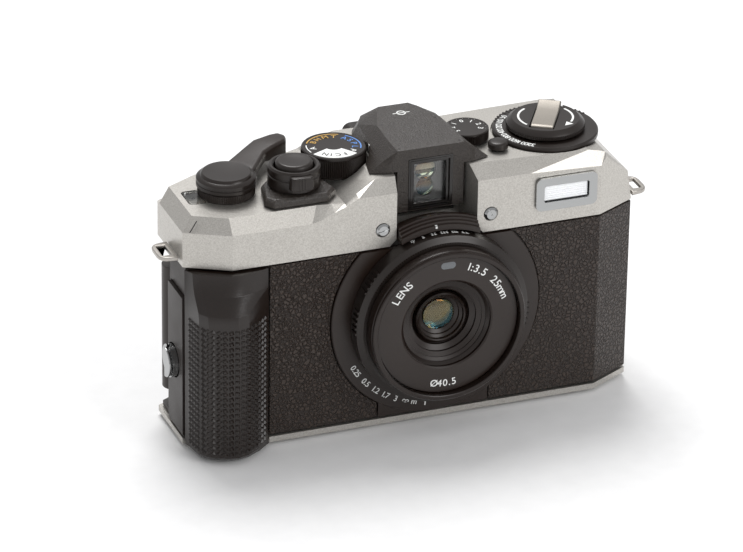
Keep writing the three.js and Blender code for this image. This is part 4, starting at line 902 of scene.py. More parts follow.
@dataclass
class LensUnit:
    """Mount plate, focus ring, lens cell, name ring and glass, all about the lens axis."""

    shop: Workshop
    centre: Point = (5.1, 0.0, 32.4)
    plate_radius: float = 29.4
    plate_front: float = 19.6
    ring_inner: float = 20.9
    ring_outer: float = 24.2
    ring_front: float = 25.1
    ring_back: float = 19.9
    rim_radius: float = 21.7
    rim_front: float = 29.6
    rim_back: float = 25.5
    name_front: float = 27.7
    glass_radius: float = 4.5

    def build(self) -> None:
        """Build the lens from the plate forwards."""
        self.plate()
        self.collar()
        self.focus_ring()
        self.cell()
        self.glasses()

    def place(self) -> Matrix:
        """Where the lens axis stands; its own +Z runs forwards from the middle of the body."""
        return standing(Axis.LENS, self.centre)

    def plate(self) -> None:
        """Cut the mount plate's disc flat at top and bottom, and print the distance scale."""
        shop = self.shop
        front, back, bore = self.plate_front, 18.4, 21.4
        disc = shop.turned("mount_plate_finished", [
            (bore, back), (self.plate_radius, back), (self.plate_radius, front - 0.25),
            (self.plate_radius - 0.25, front), (bore, front),
        ], self.place(), 160)
        for name, low, high in (("above", 20.4, 40.0), ("below", -40.0, -29.3)):
            shop.cut(disc, shop.block(f"plate_{name}", (-40, low, 10), (40, high, 30), self.place()))
        shop.fit(disc, ABS_SATIN, "root", "black_paint", ["mount_plate"])
        tab = shop.block("mount_plate_foot", (-15.8, -29.2, back), (15.5, -24.5, front - 0.5), self.place(), 0.2)
        shop.cut(tab, shop.turned("foot_clearance", [
            (0, 10), (self.plate_radius - 0.6, 10), (self.plate_radius - 0.6, 30), (0, 30)], self.place(), 96))
        shop.fit(tab, ABS_SATIN, "root", "black_paint")
        level = front + 0.02
        marks: list[tuple[str, float, Matrix]] = []
        for text, angle in (("0.25", 212), ("0.5", 222.5), ("1.2", 231), ("1.7", 238.5), ("3", 245.5), ("∞", 252), ("m", 257.5)):
            marks += shop.round_face(text, 1.65, 26.6, angle, level, 0.62, inward=False)
        marks += shop.round_face("I", 2.1, 26.8, 264.5, level, 0.8, inward=False)
        shop.fit(shop.lettering("distance_scale", marks, self.place()), WHITE_INK, "root", "black_paint")

    def collar(self) -> None:
        """Turn the stepped arcs between the lens and the finder window, and mark the index on them."""
        shop = self.shop
        steps = [(25.0, 26.4, 22.2, 14.1), (26.2, 27.1, 21.4, 18.4), (26.9, 27.7, 20.6, 18.4), (27.5, 28.3, 19.8, 18.4)]
        for number, (inner, outer, front, back) in enumerate(steps):
            arc = shop.turned(f"collar_arc_{number}", [
                (inner, back), (outer, back), (outer, front - 0.2), (outer - 0.2, front), (inner, front),
            ], self.place(), 220)
            width = 11.0
            shop.cut(arc, shop.block("arc_below", (-40, -40, 5), (40, 21.1, 30), self.place()))
            for side in (-1, 1):
                shop.cut(arc, shop.block(
                    "arc_side", (min(side * width, side * 40), 0, 5), (max(side * width, side * 40), 40, 30), self.place()))
            shop.fit(arc, ABS_SATIN, "root", "black_paint", ["lens_collar"] if number == 0 else ())
        index = shop.block("focus_index", (-1.66, 25.7, 22.15), (-1.14, 26.25, 22.24), self.place())
        shop.fit(index, WHITE_INK, "root", "black_paint")
        bar = shop.block("focus_index_top", (-1.66, 26.38, 20.9), (-1.14, 26.44, 22.2), self.place())
        shop.fit(bar, WHITE_INK, "root", "black_paint")

    def focus_ring(self) -> None:
        """Turn the focus ring with its finger ribs, its fine teeth and its printed figures."""
        shop, place = self.shop, self.place()
        ring = shop.turned("focus_ring_finished", [
            (self.ring_inner, self.ring_back), (self.ring_outer, self.ring_back), (self.ring_outer, 24.3),
            (23.7, 24.6), (22.9, 24.9), (22.6, self.ring_front), (self.ring_inner, self.ring_front),
        ], place, 160)
        shop.fit(ring, ANODISED, "focus", "black_anodised", ["focus_ring"])
        teeth = shop.ribs("focus_ring_teeth", Rib.RIDGE, place, ANODISED_TURNED, 200, 22.35, 24.95, 0.42, 0.5, 0.34)
        shop.fit(teeth, None, "focus", "black_anodised")
        for number, middle in enumerate((146.0, 174.0, -34.0, -6.0)):
            group = shop.ribs(
                f"focus_ring_ribs_{number}", Rib.FLAT, place, ANODISED, 5, self.ring_outer, 22.9, 0.62, 0.9, 3.0,
                middle - 7.2, 3.6)
            shop.fit(group, None, "focus", "black_anodised")
        self.figures()

    def figures(self) -> None:
        """Print the six distance figures round the top of the ring: a flower, one to three people, and hills."""
        whole = bmesh.new()
        radius, level = self.ring_outer + 0.02, 22.5

        def dab(shape: Sequence[tuple[float, float]], angle: float) -> None:
            """Print one flat outline, given across and up the ring, at an angle."""
            inner, outer = [], []
            for across, up in shape:
                turn = math.radians(angle) - across / radius
                for ring, r in ((inner, radius - 0.05), (outer, radius + 0.02)):
                    ring.append(whole.verts.new((r * math.cos(turn), r * math.sin(turn), level - up)))
            whole.faces.new(outer)
            whole.faces.new(inner[::-1])
            for i in range(len(shape)):
                j = (i + 1) % len(shape)
                whole.faces.new((inner[i], inner[j], outer[j], outer[i]))

        def disc(across: float, up: float, size: float, angle: float) -> None:
            """Print one small round dab."""
            dab([(across + size * math.cos(t * math.pi / 4), up + size * math.sin(t * math.pi / 4)) for t in range(8)], angle)

        def person(across: float, height: float, angle: float) -> None:
            """Print a head over shoulders."""
            disc(across, height * 0.72, 0.26, angle)
            dab([(across - 0.3, 0.0), (across + 0.3, 0.0), (across + 0.22, height * 0.42), (across - 0.22, height * 0.42)], angle)

        for petal in range(5):
            turn = petal * 2 * math.pi / 5
            disc(0.42 * math.cos(turn), 0.8 + 0.42 * math.sin(turn), 0.22, 109)
        dab([(-0.07, -0.3), (0.07, -0.3), (0.07, 0.35), (-0.07, 0.35)], 109)
        person(0.0, 1.3, 102)
        for across in (-0.38, 0.38):
            person(across, 1.25, 95)
        for across in (-0.75, 0.0, 0.75):
            person(across, 1.2, 88)
        for across in (-0.6, 0.0, 0.6):
            person(across, 0.95, 81)
        dab([(-1.1, 0.0), (-0.1, 0.0), (-0.6, 1.2)], 74)
        dab([(0.0, 0.0), (1.1, 0.0), (0.5, 0.9)], 74)
        piece = self.shop.keep("focus_figures", whole, self.place())
        self.shop.fit(piece, WHITE_INK, "focus", "black_anodised")

    def cell(self) -> None:
        """Turn the lens cell with its bevelled rim and stepped baffles, and print its name ring."""
        shop, place = self.shop, self.place()
        cell = shop.turned("lens_cell_finished", [
            (20.1, 26.7), (20.1, self.rim_front - 0.15), (20.3, self.rim_front), (21.2, self.rim_front), (21.45, 29.35),
            (21.45, 28.6), (21.6, 28.45), (self.rim_radius, 28.2), (self.rim_radius, self.rim_back + 0.2),
            (21.5, self.rim_back), (20.25, self.rim_back), (20.25, 20.1), (7.2, 20.1), (7.2, 21.4), (8.1, 22.2),
            (8.1, 22.9), (9.5, 23.6), (9.5, 24.3), (10.8, 24.8), (10.8, 25.1), (11.7, 25.5), (11.7, 25.8), (12.4, 26.6),
            (12.9, 26.7),
        ], place, 160)
        shop.fit(cell, ANODISED_TURNED, "cell", "black_anodised", ["lens_cell"])
        name = shop.turned("name_ring_finished", [
            (12.5, 27.0), (19.8, 27.0), (19.8, 27.6), (19.7, self.name_front), (12.9, self.name_front), (12.5, 27.35),
        ], place, 160)
        shop.fit(name, ABS_SATIN, "cell", "black_anodised", ["name_ring"])
        level = self.name_front + 0.02
        marks = shop.round_face("1:3.5", 2.2, 17.0, 61.0, level, 0.76)
        marks += shop.round_face("25mm", 2.2, 17.0, 31.0, level, 0.76)
        marks += shop.round_face("LENS", 2.2, 17.0, 139.0, level, 0.86)
        marks += shop.round_face("Ø40.5", 2.0, 17.3, 268.0, level, 0.8, inward=False)
        shop.fit(shop.lettering("lens_data", marks, place), WHITE_INK, "cell", "black_anodised")
        form = bmesh.new()
        outline = []
        for end, start in ((1, -90), (-1, 90)):
            for step in range(13):
                turn = math.radians(start + step * 15)
                outline.append((end * 1.1 + 0.95 * math.cos(turn), 17.3 + 0.95 * math.sin(turn)))
        low = [form.verts.new((x, y, level - 0.05)) for x, y in outline]
        high = [form.verts.new((x, y, level)) for x, y in outline]
        form.faces.new(low[::-1])
        form.faces.new(high)
        for i in range(len(low)):
            j = (i + 1) % len(low)
            form.faces.new((low[i], low[j], high[j], high[i]))
        shop.fit(shop.keep("lens_data_pill", form, place), GREY_INK, "cell", "black_anodised")

    def glasses(self) -> None:
        """Grind the front and rear glasses and set the front one's retaining ring."""
        shop, place = self.shop, self.place()
        dome = [
            (self.glass_radius * math.sin(t), 20.6 + 1.2 * math.cos(t)) for t in (math.radians(d) for d in range(88, 0, -8))
        ]
        front = shop.turned("front_glass", [(0, 20.25), (self.glass_radius, 20.25), *dome, (0, 21.8)], place, 96)
        shop.fit(front, COATED_GLASS, "cell", "optical_glass", ["front_element"])
        shop.dress("rear_element", REAR_GLASS)
        keeper = shop.turned("glass_retaining_ring", [
            (4.55, 20.3), (7.1, 20.3), (7.1, 23.2), (6.7, 23.55), (6.4, 23.3), (6.3, 22.5), (5.9, 22.2), (5.6, 22.0),
            (5.5, 21.5), (4.9, 21.2), (4.55, 21.0)], place, 96)
        shop.fit(keeper, ANODISED_TURNED, "cell", "black_anodised")
        inner = shop.turned("middle_glass", [
            (0, 17.4), (3.0, 17.5), (4.6, 17.9), (4.6, 18.3), (0, 18.3)], place, 64)
        shop.fit(inner, COATED_GLASS, "root", "optical_glass")
        shop.dress("lens_barrel", ANODISED)
        for node in ("shutter_housing", "shutter_leaf_left", "shutter_leaf_right"):
            shop.dress(node, BLACK_STEEL)


@dataclass
class FinderUnit:
    """Finder hood, its window and glass, and the eyepiece."""

    shop: Workshop
    middle: float = 5.1
    roof: float = 78.0
    window_half: float = 5.3
    window_low: float = 61.0
    window_high: float = 74.0
    window_front: float = -13.7

    def build(self) -> None:
        """Build the finder from its hood to its eyepiece."""
        shop = self.shop
        hood = shop.softened("finder_hood", 0.35, angle=9.0)
        hood.data.transform(Matrix.Translation((0, 0, -0.06 * MM)))
        shop.fit(hood, ENAMEL, "root", "black_paint", ["finder_hood"])
        shop.dress("finder_window", ACRYLIC)
        shop.dress("finder_chassis", ABS)
        shop.dress("finder_prism", COATED_GLASS)
        shop.dress("eyepiece_lens", COATED_GLASS)
        shop.fit(shop.softened("eyepiece_frame", 0.7, segments=3), RUBBER, "root", "grip_rubber", ["eyepiece_frame"])
        self.frame()
        self.objective()
        self.marks()

    def frame(self) -> None:
        """Set the glossy stepped frame round the window."""
        shop = self.shop
        half, low, high, front = self.window_half, self.window_low, self.window_high, self.window_front
        outer = shop.block(
            "finder_window_frame", (self.middle - half + 0.05, front + 0.25, low + 0.05),
            (self.middle + half - 0.05, front + 1.5, high - 0.05), Matrix.Scale(MM, 4))
        hole = shop.block(
            "frame_hole", (self.middle - half + 0.75, front - 1, low + 0.75),
            (self.middle + half - 0.75, front + 3, high - 0.75), Matrix.Scale(MM, 4))
        shop.cut(outer, hole)
        shop.fit(outer, GLOSS_ABS, "root", "black_plastic")
        for number, (grow, proud) in enumerate(((0.9, 0.22), (0.45, 0.4))):
            step = shop.block(
                f"finder_window_step_{number}", (self.middle - half - grow, front - proud, low - grow * 0.8),
                (self.middle + half + grow, front + 0.2, high + grow), Matrix.Scale(MM, 4), 0.12)
            mouth = shop.block(
                "step_mouth", (self.middle - half - 0.02, front - 2, low - 0.02),
                (self.middle + half + 0.02, front + 1, high + 0.02), Matrix.Scale(MM, 4))
            shop.cut(step, mouth)
            shop.fit(step, GLOSS_ABS, "root", "black_plastic")
        mask = shop.block(
            "finder_light_mask", (self.middle - half - 0.6, -10.95, low - 0.2), (self.middle + half + 0.6, -10.75, high + 0.4),
            Matrix.Scale(MM, 4))
        for z, radius in ((70.2, 2.9), (65.3, 2.6)):
            shop.cut(mask, shop.turned(
                "mask_hole", [(0, -2), (radius, -2), (radius, 4), (0, 4)],
                standing(Axis.LENS, (self.middle - 0.6, -10.0, z)), 64))
        shop.fit(mask, GREY_ABS, "root", "black_plastic")

    def objective(self) -> None:
        """Stand the finder's two small round lenses behind the window, each in a nickel rim."""
        shop = self.shop
        for number, (z, radius) in enumerate(((70.2, 2.9), (65.3, 2.6))):
            lens = shop.turned(f"finder_objective_{number}", [
                (0, -0.3), (radius, -0.3), (radius, 0.3), (radius * 0.75, 0.62), (radius * 0.4, 0.78), (0, 0.82),
            ], standing(Axis.LENS, (self.middle - 0.6, -9.9, z)), 64)
            shop.fit(lens, COATED_GLASS, "root", "optical_glass")
            rim = shop.turned(f"finder_objective_rim_{number}", [
                (radius + 0.05, -0.35), (radius + 0.5, -0.35), (radius + 0.5, 0.2), (radius + 0.05, 0.2),
            ], standing(Axis.LENS, (self.middle - 0.6, -9.9, z)), 64)
            shop.fit(rim, NICKEL, "root", "steel")

    def marks(self) -> None:
        """Print the film plane mark on the roof and the dial index on the left flank, and set four tiny screws."""
        shop = self.shop
        place = standing(Axis.UP, (self.middle, 0.0, self.roof))
        ring = shop.turned("film_plane_ring", [(0.95, -0.08), (1.3, -0.08), (1.3, -0.01), (0.95, -0.01)],
                           standing(Axis.UP, (self.middle, 8.4, self.roof)), 48)
        shop.fit(ring, WHITE_INK, "root", "black_paint")
        line = shop.block("film_plane_line", (-2.4, 8.25, -0.08), (2.4, 8.55, -0.01), place)
        shop.fit(line, WHITE_INK, "root", "black_paint")
        index = shop.block("mode_index", (-7.5, -1.5, 72.7), (-7.36, -0.6, 74.8), Matrix.Scale(MM, 4), 0.05)
        shop.fit(index, WHITE_INK, "root", "black_paint")
        for number, (x, y) in enumerate(((-8.4, -12.4), (8.4, -12.4), (-7.6, 3.0), (7.6, 3.0))):
            dot = shop.turned(f"hood_pin_{number}", [(0, -0.08), (0.34, -0.08), (0.34, -0.03), (0, -0.01)],
                              standing(Axis.UP, (self.middle + x, y, self.roof)), 24)
            shop.fit(dot, BLACK_INK, "root", "black_paint")


@dataclass
class FlashUnit:
    """Flash bezel, its ribbed window, and the tube in its reflector."""

    shop: Workshop
    x: float = 41.5
    z: float = 61.9
    half_width: float = 6.1
    half_height: float = 2.1
    front: float = -19.2
    back: float = -18.2
    rib: float = 0.6
    groove: float = 0.12

    def build(self) -> None:
        """Build the flash."""
        shop = self.shop
        shop.fit(shop.softened("flash_bezel", 0.28, segments=3), CHROME, "root", "chrome", ["flash_bezel"])
        shop.dress("flash_reflector", REFLECTOR)
        shop.dress("flash_capacitor", ABS_SATIN)
        self.window()
        tube = shop.turned("flash_tube", [(0, -5.4), (1.2, -5.4), (1.25, 5.4), (0, 5.4)],
                           Matrix.Scale(MM, 4) @ Matrix.Translation((self.x, -13.9, self.z)) @ Matrix.Rotation(math.pi / 2, 4, "Y"),
                           32)
        shop.fit(tube, ACETAL, "root", "optical_glass")

    def window(self) -> None:
        """Mould the window with level fresnel ribs on its face."""
        form = bmesh.new()
        steps = int(2 * self.half_height / self.rib)
        height = 2 * self.half_height / steps
        outline = [(self.back, -self.half_height), (self.back, self.half_height)]
        for i in range(steps, 0, -1):
            top = -self.half_height + i * height
            outline += [(self.front + self.groove, top), (self.front, top - height / 2)]
        outline.append((self.front + self.groove, -self.half_height))
        left = [form.verts.new((self.x - self.half_width, y, self.z + z)) for y, z in outline]
        right = [form.verts.new((self.x + self.half_width, y, self.z + z)) for y, z in outline]
        form.faces.new(left)
        form.faces.new(right[::-1])
        for i in range(len(left)):
            j = (i + 1) % len(left)
            form.faces.new((left[i], right[i], right[j], left[j]))
        piece = self.shop.keep("flash_window_finished", form, Matrix.Scale(MM, 4), 20.0)
        self.shop.fit(piece, FLASH_ACRYLIC, "root", "clear_window", ["flash_window"])


@dataclass
class ReleaseGroup:
    """Shutter release on its textured platform, inside the power switch."""

    shop: Workshop
    x: float = -30.6
    y: float = -7.1

    def build(self) -> None:
        """Build the platform, the power switch and the button."""
        shop = self.shop
        place = standing(Axis.UP, (self.x, self.y, 0.0))
        shop.fit(shop.softened("shutter_platform", 0.3), ENAMEL, "root", "black_anodised", ["shutter_platform"])
        collar = shop.turned("power_switch_collar", [
            (5.44, 70.0), (6.95, 70.0), (6.95, 72.9), (6.7, 73.1), (6.7, 73.4), (6.95, 73.6), (6.95, 75.1), (6.5, 75.6),
            (5.9, 75.6), (5.44, 75.2),
        ], place, 96)
        shop.fit(collar, ANODISED, "switch", "black_anodised", ["power_switch"])
        tab = shop.loft("power_switch_tab", self.tab_sections(), place, 0.3)
        tab.data.transform(self.about(-93.0))
        shop.fit(tab, ANODISED, "switch", "black_anodised")
        ribs = shop.ribs("power_switch_tab_ribs", Rib.FLAT, place, ANODISED, 5, 8.3, 73.1, 0.5, 0.35, 3.1, -93 - 9.6 * 1.1, 5.3)
        shop.fit(ribs, None, "switch", "black_anodised")
        button = shop.turned("shutter_button_finished", [
            (0, 71.4), (4.94, 71.4), (4.94, 75.9), (4.7, 76.35), (4.3, 76.6), (3.9, 76.62), (3.0, 76.45), (0, 76.35),
        ], place, 96)
        shop.fit(button, ANODISED, "button", "black_anodised", ["shutter_button"])

    def tab_sections(self) -> list[list[Point]]:
        """The tab's sections from the collar outwards, along its own +X."""
        return [
            [(reach, -half, 71.3), (reach, half, 71.3), (reach, half - drop, 74.9), (reach, -half + drop, 74.9)]
            for reach, half, drop in ((6.3, 3.4, 0.3), (7.9, 3.2, 0.4), (8.35, 2.6, 0.6))
        ]

    def about(self, degrees: float) -> Matrix:
        """Turn a placed piece about the release's axis."""
        centre = Vector((self.x, self.y, 0.0)) * MM
        return Matrix.Translation(centre) @ Matrix.Rotation(math.radians(degrees), 4, "Z") @ Matrix.Translation(-centre)


@dataclass
class WindGroup:
    """Wind lever with its disc, and the frame counter beside it."""

    shop: Workshop
    x: float = -47.3
    y: float = -1.4
    swing: float = 35.5

    def build(self) -> None:
        """Build the lever's disc and arm, and the counter."""
        shop = self.shop
        place = standing(Axis.UP, (self.x, self.y, 0.0))
        disc = shop.turned("advance_lever_disc", [
            (0, 66.9), (7.2, 66.9), (7.42, 67.3), (7.42, 69.3), (7.15, 69.45), (7.15, 69.6), (7.92, 69.8), (7.92, 70.6),
            (7.72, 70.75), (7.72, 70.95), (7.92, 71.1), (7.92, 71.9), (7.5, 72.3), (6.85, 72.6), (6.6, 73.05),
            (6.25, 73.3), (5.8, 73.24), (0, 73.12),
        ], place, 96)
        shop.fit(disc, ANODISED, "lever", "black_anodised", ["advance_lever"])
        skirt = shop.ribs("advance_lever_knurl", Rib.RIDGE, place, ABS, 84, 7.38, 68.3, 0.5, 0.4, 1.8)
        shop.fit(skirt, None, "lever", "black_anodised")
        low = 69.5
        sections = []
        for along, right, left, bottom, top in (
            (3.0, -5.2, 5.0, 0.0, 2.1), (10.0, -3.0, 5.6, 0.0, 2.6), (17.0, -0.5, 6.1, 0.0, 3.2),
            (20.5, -0.8, 6.2, -0.6, 3.6), (25.3, -1.4, 4.6, -0.8, 3.8), (27.6, 0.2, 3.6, -0.5, 3.7),
        ):
            soft = 0.7
            sections.append([
                (along, right, low + bottom), (along, left, low + bottom), (along, left, low + top - soft),
                (along, left - soft, low + top), (along, right + soft, low + top), (along, right, low + top - soft),
            ])
        turned_place = place @ Matrix.Rotation(math.radians(self.swing), 4, "Z")
        arm = shop.loft("advance_lever_arm", sections, turned_place, 0.45)
        shop.fit(arm, ABS_SATIN, "lever", "black_anodised")
        self.counter(place)

    def counter(self, place: Matrix) -> None:
        """Print the counter's numbers, and give its disc and clear window their finishes."""
        shop = self.shop
        shop.dress("counter_disc", ACETAL)
        shop.dress("counter_window", ACRYLIC)
        marks: list[tuple[str, float, Matrix]] = []
        for step, number in enumerate(range(0, 72, 6)):
            marks += shop.round_face(str(number), 1.5, 9.0, 180 - step * 30, 63.93, 0.8)
        shop.fit(shop.lettering("counter_numbers", marks, place), BLACK_INK, "counter", "white_plastic")


@dataclass
class DeckDials:
    """Mode dial, exposure dial, film speed ring, and the rewind knob with its crank."""

    shop: Workshop
    mode: tuple[float, float] = (-16.7, 0.9)
    exposure: tuple[float, float] = (20.6, 0.3)
    rewind: tuple[float, float] = (42.5, -1.5)
    lock: tuple[float, float] = (26.1, -8.6)
    channel_angle: float = 59.0

    def build(self) -> None:
        """Build every dial on the deck."""
        self.mode_dial()
        self.exposure_dial()
        self.speed_ring()
        self.rewind_knob()

    def arc(self, name: str, radius: float, width: float, start: float, end: float, level: float, place: Matrix) -> bpy.types.Object:
        """A thin printed arc on a flat face, with angles in degrees."""
        form = bmesh.new()
        steps = max(6, int(abs(end - start) / 3))
        inner, outer = radius - width / 2, radius + width / 2
        columns = []
        for i in range(steps + 1):
            turn = math.radians(start + (end - start) * i / steps)
            columns.append([
                form.verts.new((r * math.cos(turn), r * math.sin(turn), level + lift))
                for r, lift in ((inner, 0.0), (outer, 0.0), (outer, 0.04), (inner, 0.04))
            ])
        for a, b in zip(columns, columns[1:]):
            for i in range(4):
                j = (i + 1) % 4
                form.faces.new((a[i], a[j], b[j], b[i]))
        form.faces.new(columns[0])
        form.faces.new(columns[-1][::-1])
        return self.shop.keep(name, form, place)

    def mode_dial(self) -> None:
        """Turn the mode dial with a knurled side, and print its sectors."""
        shop = self.shop
        place = standing(Axis.UP, (*self.mode, 0.0))
        dial = shop.turned("mode_dial_finished", [
            (0, 69.0), (8.4, 69.0), (8.4, 74.3), (8.55, 74.4), (8.55, 74.75), (8.3, 75.0), (7.9, 75.0), (7.8, 74.92), (0, 74.92),
        ], place, 96)
        shop.fit(dial, ANODISED, "mode", "black_anodised", ["mode_dial"])
        knurl = shop.ribs("mode_dial_knurl", Rib.RIDGE, place, ANODISED, 110, 8.38, 71.8, 0.46, 0.5, 4.8)
        shop.fit(knurl, None, "mode", "black_anodised")
        level = 74.93
        shop.fit(self.arc("mode_dial_white_sector", 5.0, 5.0, 205, 305, level, place), WHITE_INK, "mode", "black_anodised")
        shop.fit(self.arc("mode_dial_gold_arc", 7.2, 0.35, 60, 150, level, place), GOLD_INK, "mode", "black_anodised")
        shop.fit(self.arc("mode_dial_blue_arc", 7.2, 0.35, -30, 45, level, place), BLUE_INK, "mode", "black_anodised")
        shop.fit(self.arc("mode_dial_white_arc", 7.2, 0.3, 160, 196, level, place), WHITE_INK, "mode", "black_anodised")
        inks: tuple[tuple[str, Finish, tuple[tuple[str, float], ...]], ...] = (
            ("gold", GOLD_INK, (("B", 140), ("H", 118), ("M", 94), ("T", 70))),
            ("blue", BLUE_INK, (("A", 40), ("S", 20), ("P", -2), ("L", -24))),
            ("white", WHITE_INK, (("A", 178), ("P", -46))),
            ("black", BLACK_INK, (("N", 228), ("I", 244), ("C", 262), ("F", 282))),
        )
        for label, ink, letters in inks:
            marks: list[tuple[str, float, Matrix]] = []
            for letter, angle in letters:
                marks += shop.round_face(letter, 1.7, 5.6, angle, level + (0.05 if label == "black" else 0.02), 0.8)
            shop.fit(shop.lettering(f"mode_dial_{label}_marks", marks, place), ink, "mode", "black_anodised")

    def exposure_dial(self) -> None:
        """Turn the exposure dial and print its numbers and ticks."""
        shop = self.shop
        place = standing(Axis.UP, (*self.exposure, 0.0))
        dial = shop.turned("exposure_dial_finished", [
            (0, 72.0), (5.75, 72.0), (5.75, 74.6), (5.9, 74.7), (5.9, 75.0), (5.7, 75.2), (5.3, 75.2), (5.2, 75.12), (0, 75.12),
        ], place, 96)
        shop.fit(dial, ANODISED, "exposure", "black_anodised", ["exposure_dial"])
        knurl = shop.ribs("exposure_dial_knurl", Rib.RIDGE, place, ANODISED, 78, 5.74, 73.4, 0.44, 0.46, 2.3)
        shop.fit(knurl, None, "exposure", "black_anodised")
        marks: list[tuple[str, float, Matrix]] = []
        for text, angle in (("0", 90), ("1", 130), ("2", 170), ("3", 210), ("1", 50), ("2", 10), ("3", -30)):
            marks += shop.round_face(text, 1.5, 3.7, angle, 75.13, 0.8)
        for step in range(14):
            marks += shop.round_face("'", 1.1, 4.9, 210 - step * 18.5, 75.13, 0.8)
        shop.fit(shop.lettering("exposure_numbers", marks, place), WHITE_INK, "exposure", "black_anodised")

    def speed_ring(self) -> None:
        """Turn the film speed ring, print its numbers and cut its ribbed rear edge."""
        shop = self.shop
        place = standing(Axis.UP, (*self.rewind, 0.0))
        ring = shop.turned("speed_ring_finished", [
            (5.0, 71.1), (13.95, 71.1), (14.15, 71.3), (14.15, 72.3), (13.8, 72.7), (5.0, 72.7),
        ], place, 128)
        shop.fit(ring, ANODISED, "speed", "black_anodised", ["speed_ring"])
        ribs = shop.ribs("speed_ring_ribs", Rib.FLAT, place, ANODISED, 22, 13.5, 72.62, 0.5, 1.1, 0.34, 20, 6.0)
        shop.fit(ribs, None, "speed", "black_anodised")
        marks: list[tuple[str, float, Matrix]] = []
        for text, angle in (("3200", 226), ("1600", 207), ("800", 190), ("400", 175), ("200", 160), ("100", 145), ("50", 132)):
            marks += shop.round_face(text, 1.7, 12.3, angle, 72.72, 0.56)
        shop.fit(shop.lettering("film_speeds", marks, place), WHITE_INK, "speed", "black_anodised")
        button = shop.turned("speed_lock_button_finished", [
            (0, 71.8), (1.7, 71.8), (1.7, 72.4), (2.7, 72.4), (2.7, 73.6), (2.4, 74.0), (1.9, 74.2), (0, 74.2),
        ], standing(Axis.UP, (*self.lock, 0.0)), 64)
        shop.fit(button, ANODISED, "speed_lock", "black_anodised", ["speed_lock_button"])

    def rewind_knob(self) -> None:
        """Turn the knob, mill the channel for its crank, and print its arcs."""
        shop = self.shop
        place = standing(Axis.UP, (*self.rewind, 0.0))
        knob = shop.turned("rewind_knob_finished", [
            (0, 73.0), (10.1, 73.0), (10.45, 73.3), (10.45, 74.3), (10.2, 74.7), (9.05, 75.6), (0, 75.6),
        ], place, 128)
        channel = shop.block(
            "knob_channel", (-7.6, -3.4, 74.2), (14.0, 3.4, 78.0), place @ Matrix.Rotation(math.radians(self.channel_angle), 4, "Z"))
        shop.cut(knob, channel)
        shop.fit(knob, ANODISED, "rewind_shaft", "black_anodised", ["rewind_knob"])
        knurl = shop.ribs("rewind_knob_knurl", Rib.RIDGE, place, ANODISED, 120, 10.38, 73.8, 0.5, 0.4, 0.9)
        shop.fit(knurl, None, "rewind_shaft", "black_anodised")
        shop.dress("rewind_sleeve", STEEL)
        crank = shop.softened("rewind_crank", 0.35, segments=3)
        shop.fit(crank, NICKEL_SILVER, "crank", "silver_paint", ["rewind_crank"])
        level = 75.6
        shop.fit(self.arc("rewind_arc_left", 7.3, 0.55, 118, 205, level, place), WHITE_INK, "rewind_shaft", "black_anodised")
        shop.fit(self.arc("rewind_arc_right", 7.3, 0.55, -45, 25, level, place), WHITE_INK, "rewind_shaft", "black_anodised")
        form = bmesh.new()
        tip = math.radians(-58)
        centre = Vector((7.3 * math.cos(tip), 7.3 * math.sin(tip), level))
        out = Vector((math.cos(tip), math.sin(tip), 0))
        along = Vector((out.y, -out.x, 0))
        corners = [centre + along * 1.3, centre - along * 0.9 + out * 1.1, centre - along * 0.9 - out * 1.1]
        low = [form.verts.new(c) for c in corners]
        high = [form.verts.new(c + Vector((0, 0, 0.04))) for c in corners]
        form.faces.new(low)
        form.faces.new(high[::-1])
        for i in range(3):
            j = (i + 1) % 3
            form.faces.new((low[i], high[i], high[j], low[j]))
        shop.fit(shop.keep("rewind_arrow", form, place), WHITE_INK, "rewind_shaft", "black_anodised")


@dataclass
class BatteryDoor:
    """Battery lid at the left end, with its key and folding handle."""

    shop: Workshop

    def build(self) -> None:
        """Build the lid, the key and the handle."""
        shop = self.shop
        shop.fit(shop.softened("battery_lid", 0.3), ABS, "lid", "black_plastic", ["battery_lid"])
        shop.fit(shop.softened("battery_key", 0.2), CHROME, "key", "chrome", ["battery_key"])
        shop.fit(shop.softened("key_handle", 0.15), CHROME, "handle", "chrome", ["key_handle"])


@dataclass
class BackDoor:
    """Film door with its window, memo holder, leather and pressure plate."""

    shop: Workshop

    def build(self) -> None:
        """Build the door and what rides on it."""
        shop = self.shop
        shop.fit(shop.softened("film_door", 0.3), ABS_SATIN, "door", "black_paint", ["film_door"])
        shop.dress("door_window", ACRYLIC)
        shop.fit(shop.softened("memo_holder", 0.35), ABS, "door", "black_plastic", ["memo_holder"])
        shop.dress("pressure_plate", ANODISED)
        shop.dress("pressure_spring", STEEL)
        shop.dress("take_up_spool", ABS)
        shop.dress("film_sprocket", ACETAL)
        skin = shop.block("film_door_leather", (-40.0, 18.95, 6.6), (-16.6, 19.28, 50.0), Matrix.Scale(MM, 4), 0.15)
        shop.fit(skin, VINYL, "door", "leatherette")
        right = shop.block("film_door_leather_right", (26.8, 18.95, 6.6), (34.6, 19.28, 50.0), Matrix.Scale(MM, 4), 0.15)
        shop.fit(right, VINYL, "door", "leatherette")


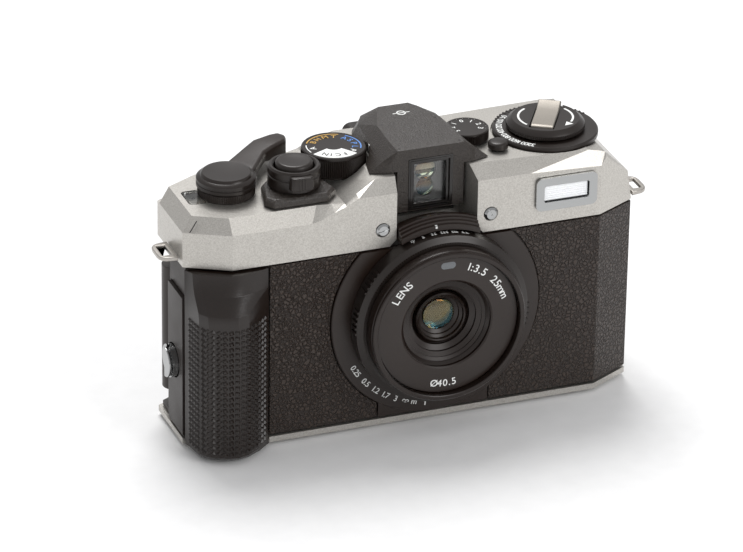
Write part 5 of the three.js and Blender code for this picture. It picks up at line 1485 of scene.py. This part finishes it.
@dataclass
class Studio:
    """White floor, soft lights and the camera."""

    azimuth: float = -21.01
    elevation: float = 26.55
    roll: float = 0.87
    distance: float = 1.2828
    target: Point = (-0.0131, -0.019, 0.04553)
    focal: float = 237.2
    lights: dict[str, tuple[Point, float, float]] = field(default_factory=lambda: {
        "overhead_softbox": ((0.05, 0.5, 1.0), 0.6, 8.6),
        "front_softbox": ((0.75, -1.25, 0.8), 0.9, 8.0),
    })

    def build(self) -> None:
        """Set up the floor, the sky, the lights and the camera."""
        form = bmesh.new()
        bmesh.ops.create_grid(form, x_segments=4, y_segments=4, size=4.0)
        mesh = bpy.data.meshes.new("floor")
        form.to_mesh(mesh)
        form.free()
        floor = bpy.data.objects.new("floor", mesh)
        mesh.transform(Matrix.Translation((0, 0, -0.0002)))
        mesh.materials.append(FLOOR.build())
        bpy.context.scene.collection.objects.link(floor)
        world = bpy.data.worlds.new("studio_sky")
        world.use_nodes = True
        sky = world.node_tree.nodes["Background"]
        sky.inputs["Color"].default_value = linear("#fbfbfc")
        sky.inputs["Strength"].default_value = 0.6
        bpy.context.scene.world = world
        bpy.context.scene.view_settings.view_transform = "Standard"
        for name, (spot, size, power) in self.lights.items():
            data = bpy.data.lights.new(name, "AREA")
            data.shape = "DISK"
            data.size = size
            data.energy = power
            lamp = bpy.data.objects.new(name, data)
            lamp.location = spot
            lamp.rotation_euler = (Vector((0, 0, 0.03)) - Vector(spot)).to_track_quat("-Z", "Y").to_euler()
            bpy.context.scene.collection.objects.link(lamp)
        self.camera()

    def camera(self) -> None:
        """Aim the camera from its angles, distance and roll."""
        a, e, r = (math.radians(v) for v in (self.azimuth, self.elevation, self.roll))
        back = Vector((math.sin(a) * math.cos(e), -math.cos(a) * math.cos(e), math.sin(e)))
        right = Vector((math.cos(a), math.sin(a), 0.0))
        up = back.cross(right)
        right_rolled = math.cos(r) * right + math.sin(r) * up
        up_rolled = -math.sin(r) * right + math.cos(r) * up
        turn = Matrix((right_rolled, up_rolled, back)).transposed().to_4x4()
        data = bpy.data.cameras.new("studio_camera")
        data.lens = self.focal
        data.sensor_width = 36.0
        data.clip_start = 0.05
        camera = bpy.data.objects.new("studio_camera", data)
        camera.matrix_world = Matrix.Translation(Vector(self.target) + back * self.distance) @ turn
        bpy.context.scene.collection.objects.link(camera)
        bpy.context.scene.camera = camera


def main() -> None:
    """Build every sub-assembly in order, then the studio."""
    logging.basicConfig(level=logging.INFO, format="%(message)s")
    shop = Workshop()
    assemblies = (Housing, Grip, LensUnit, FinderUnit, FlashUnit, ReleaseGroup, WindGroup, DeckDials, BatteryDoor, BackDoor)
    for assembly in assemblies:
        LOG.info("building %s", assembly.__name__)
        assembly(shop).build()
    Studio().build()
    bpy.context.view_layer.update()


if __name__ == "__main__":
    main()
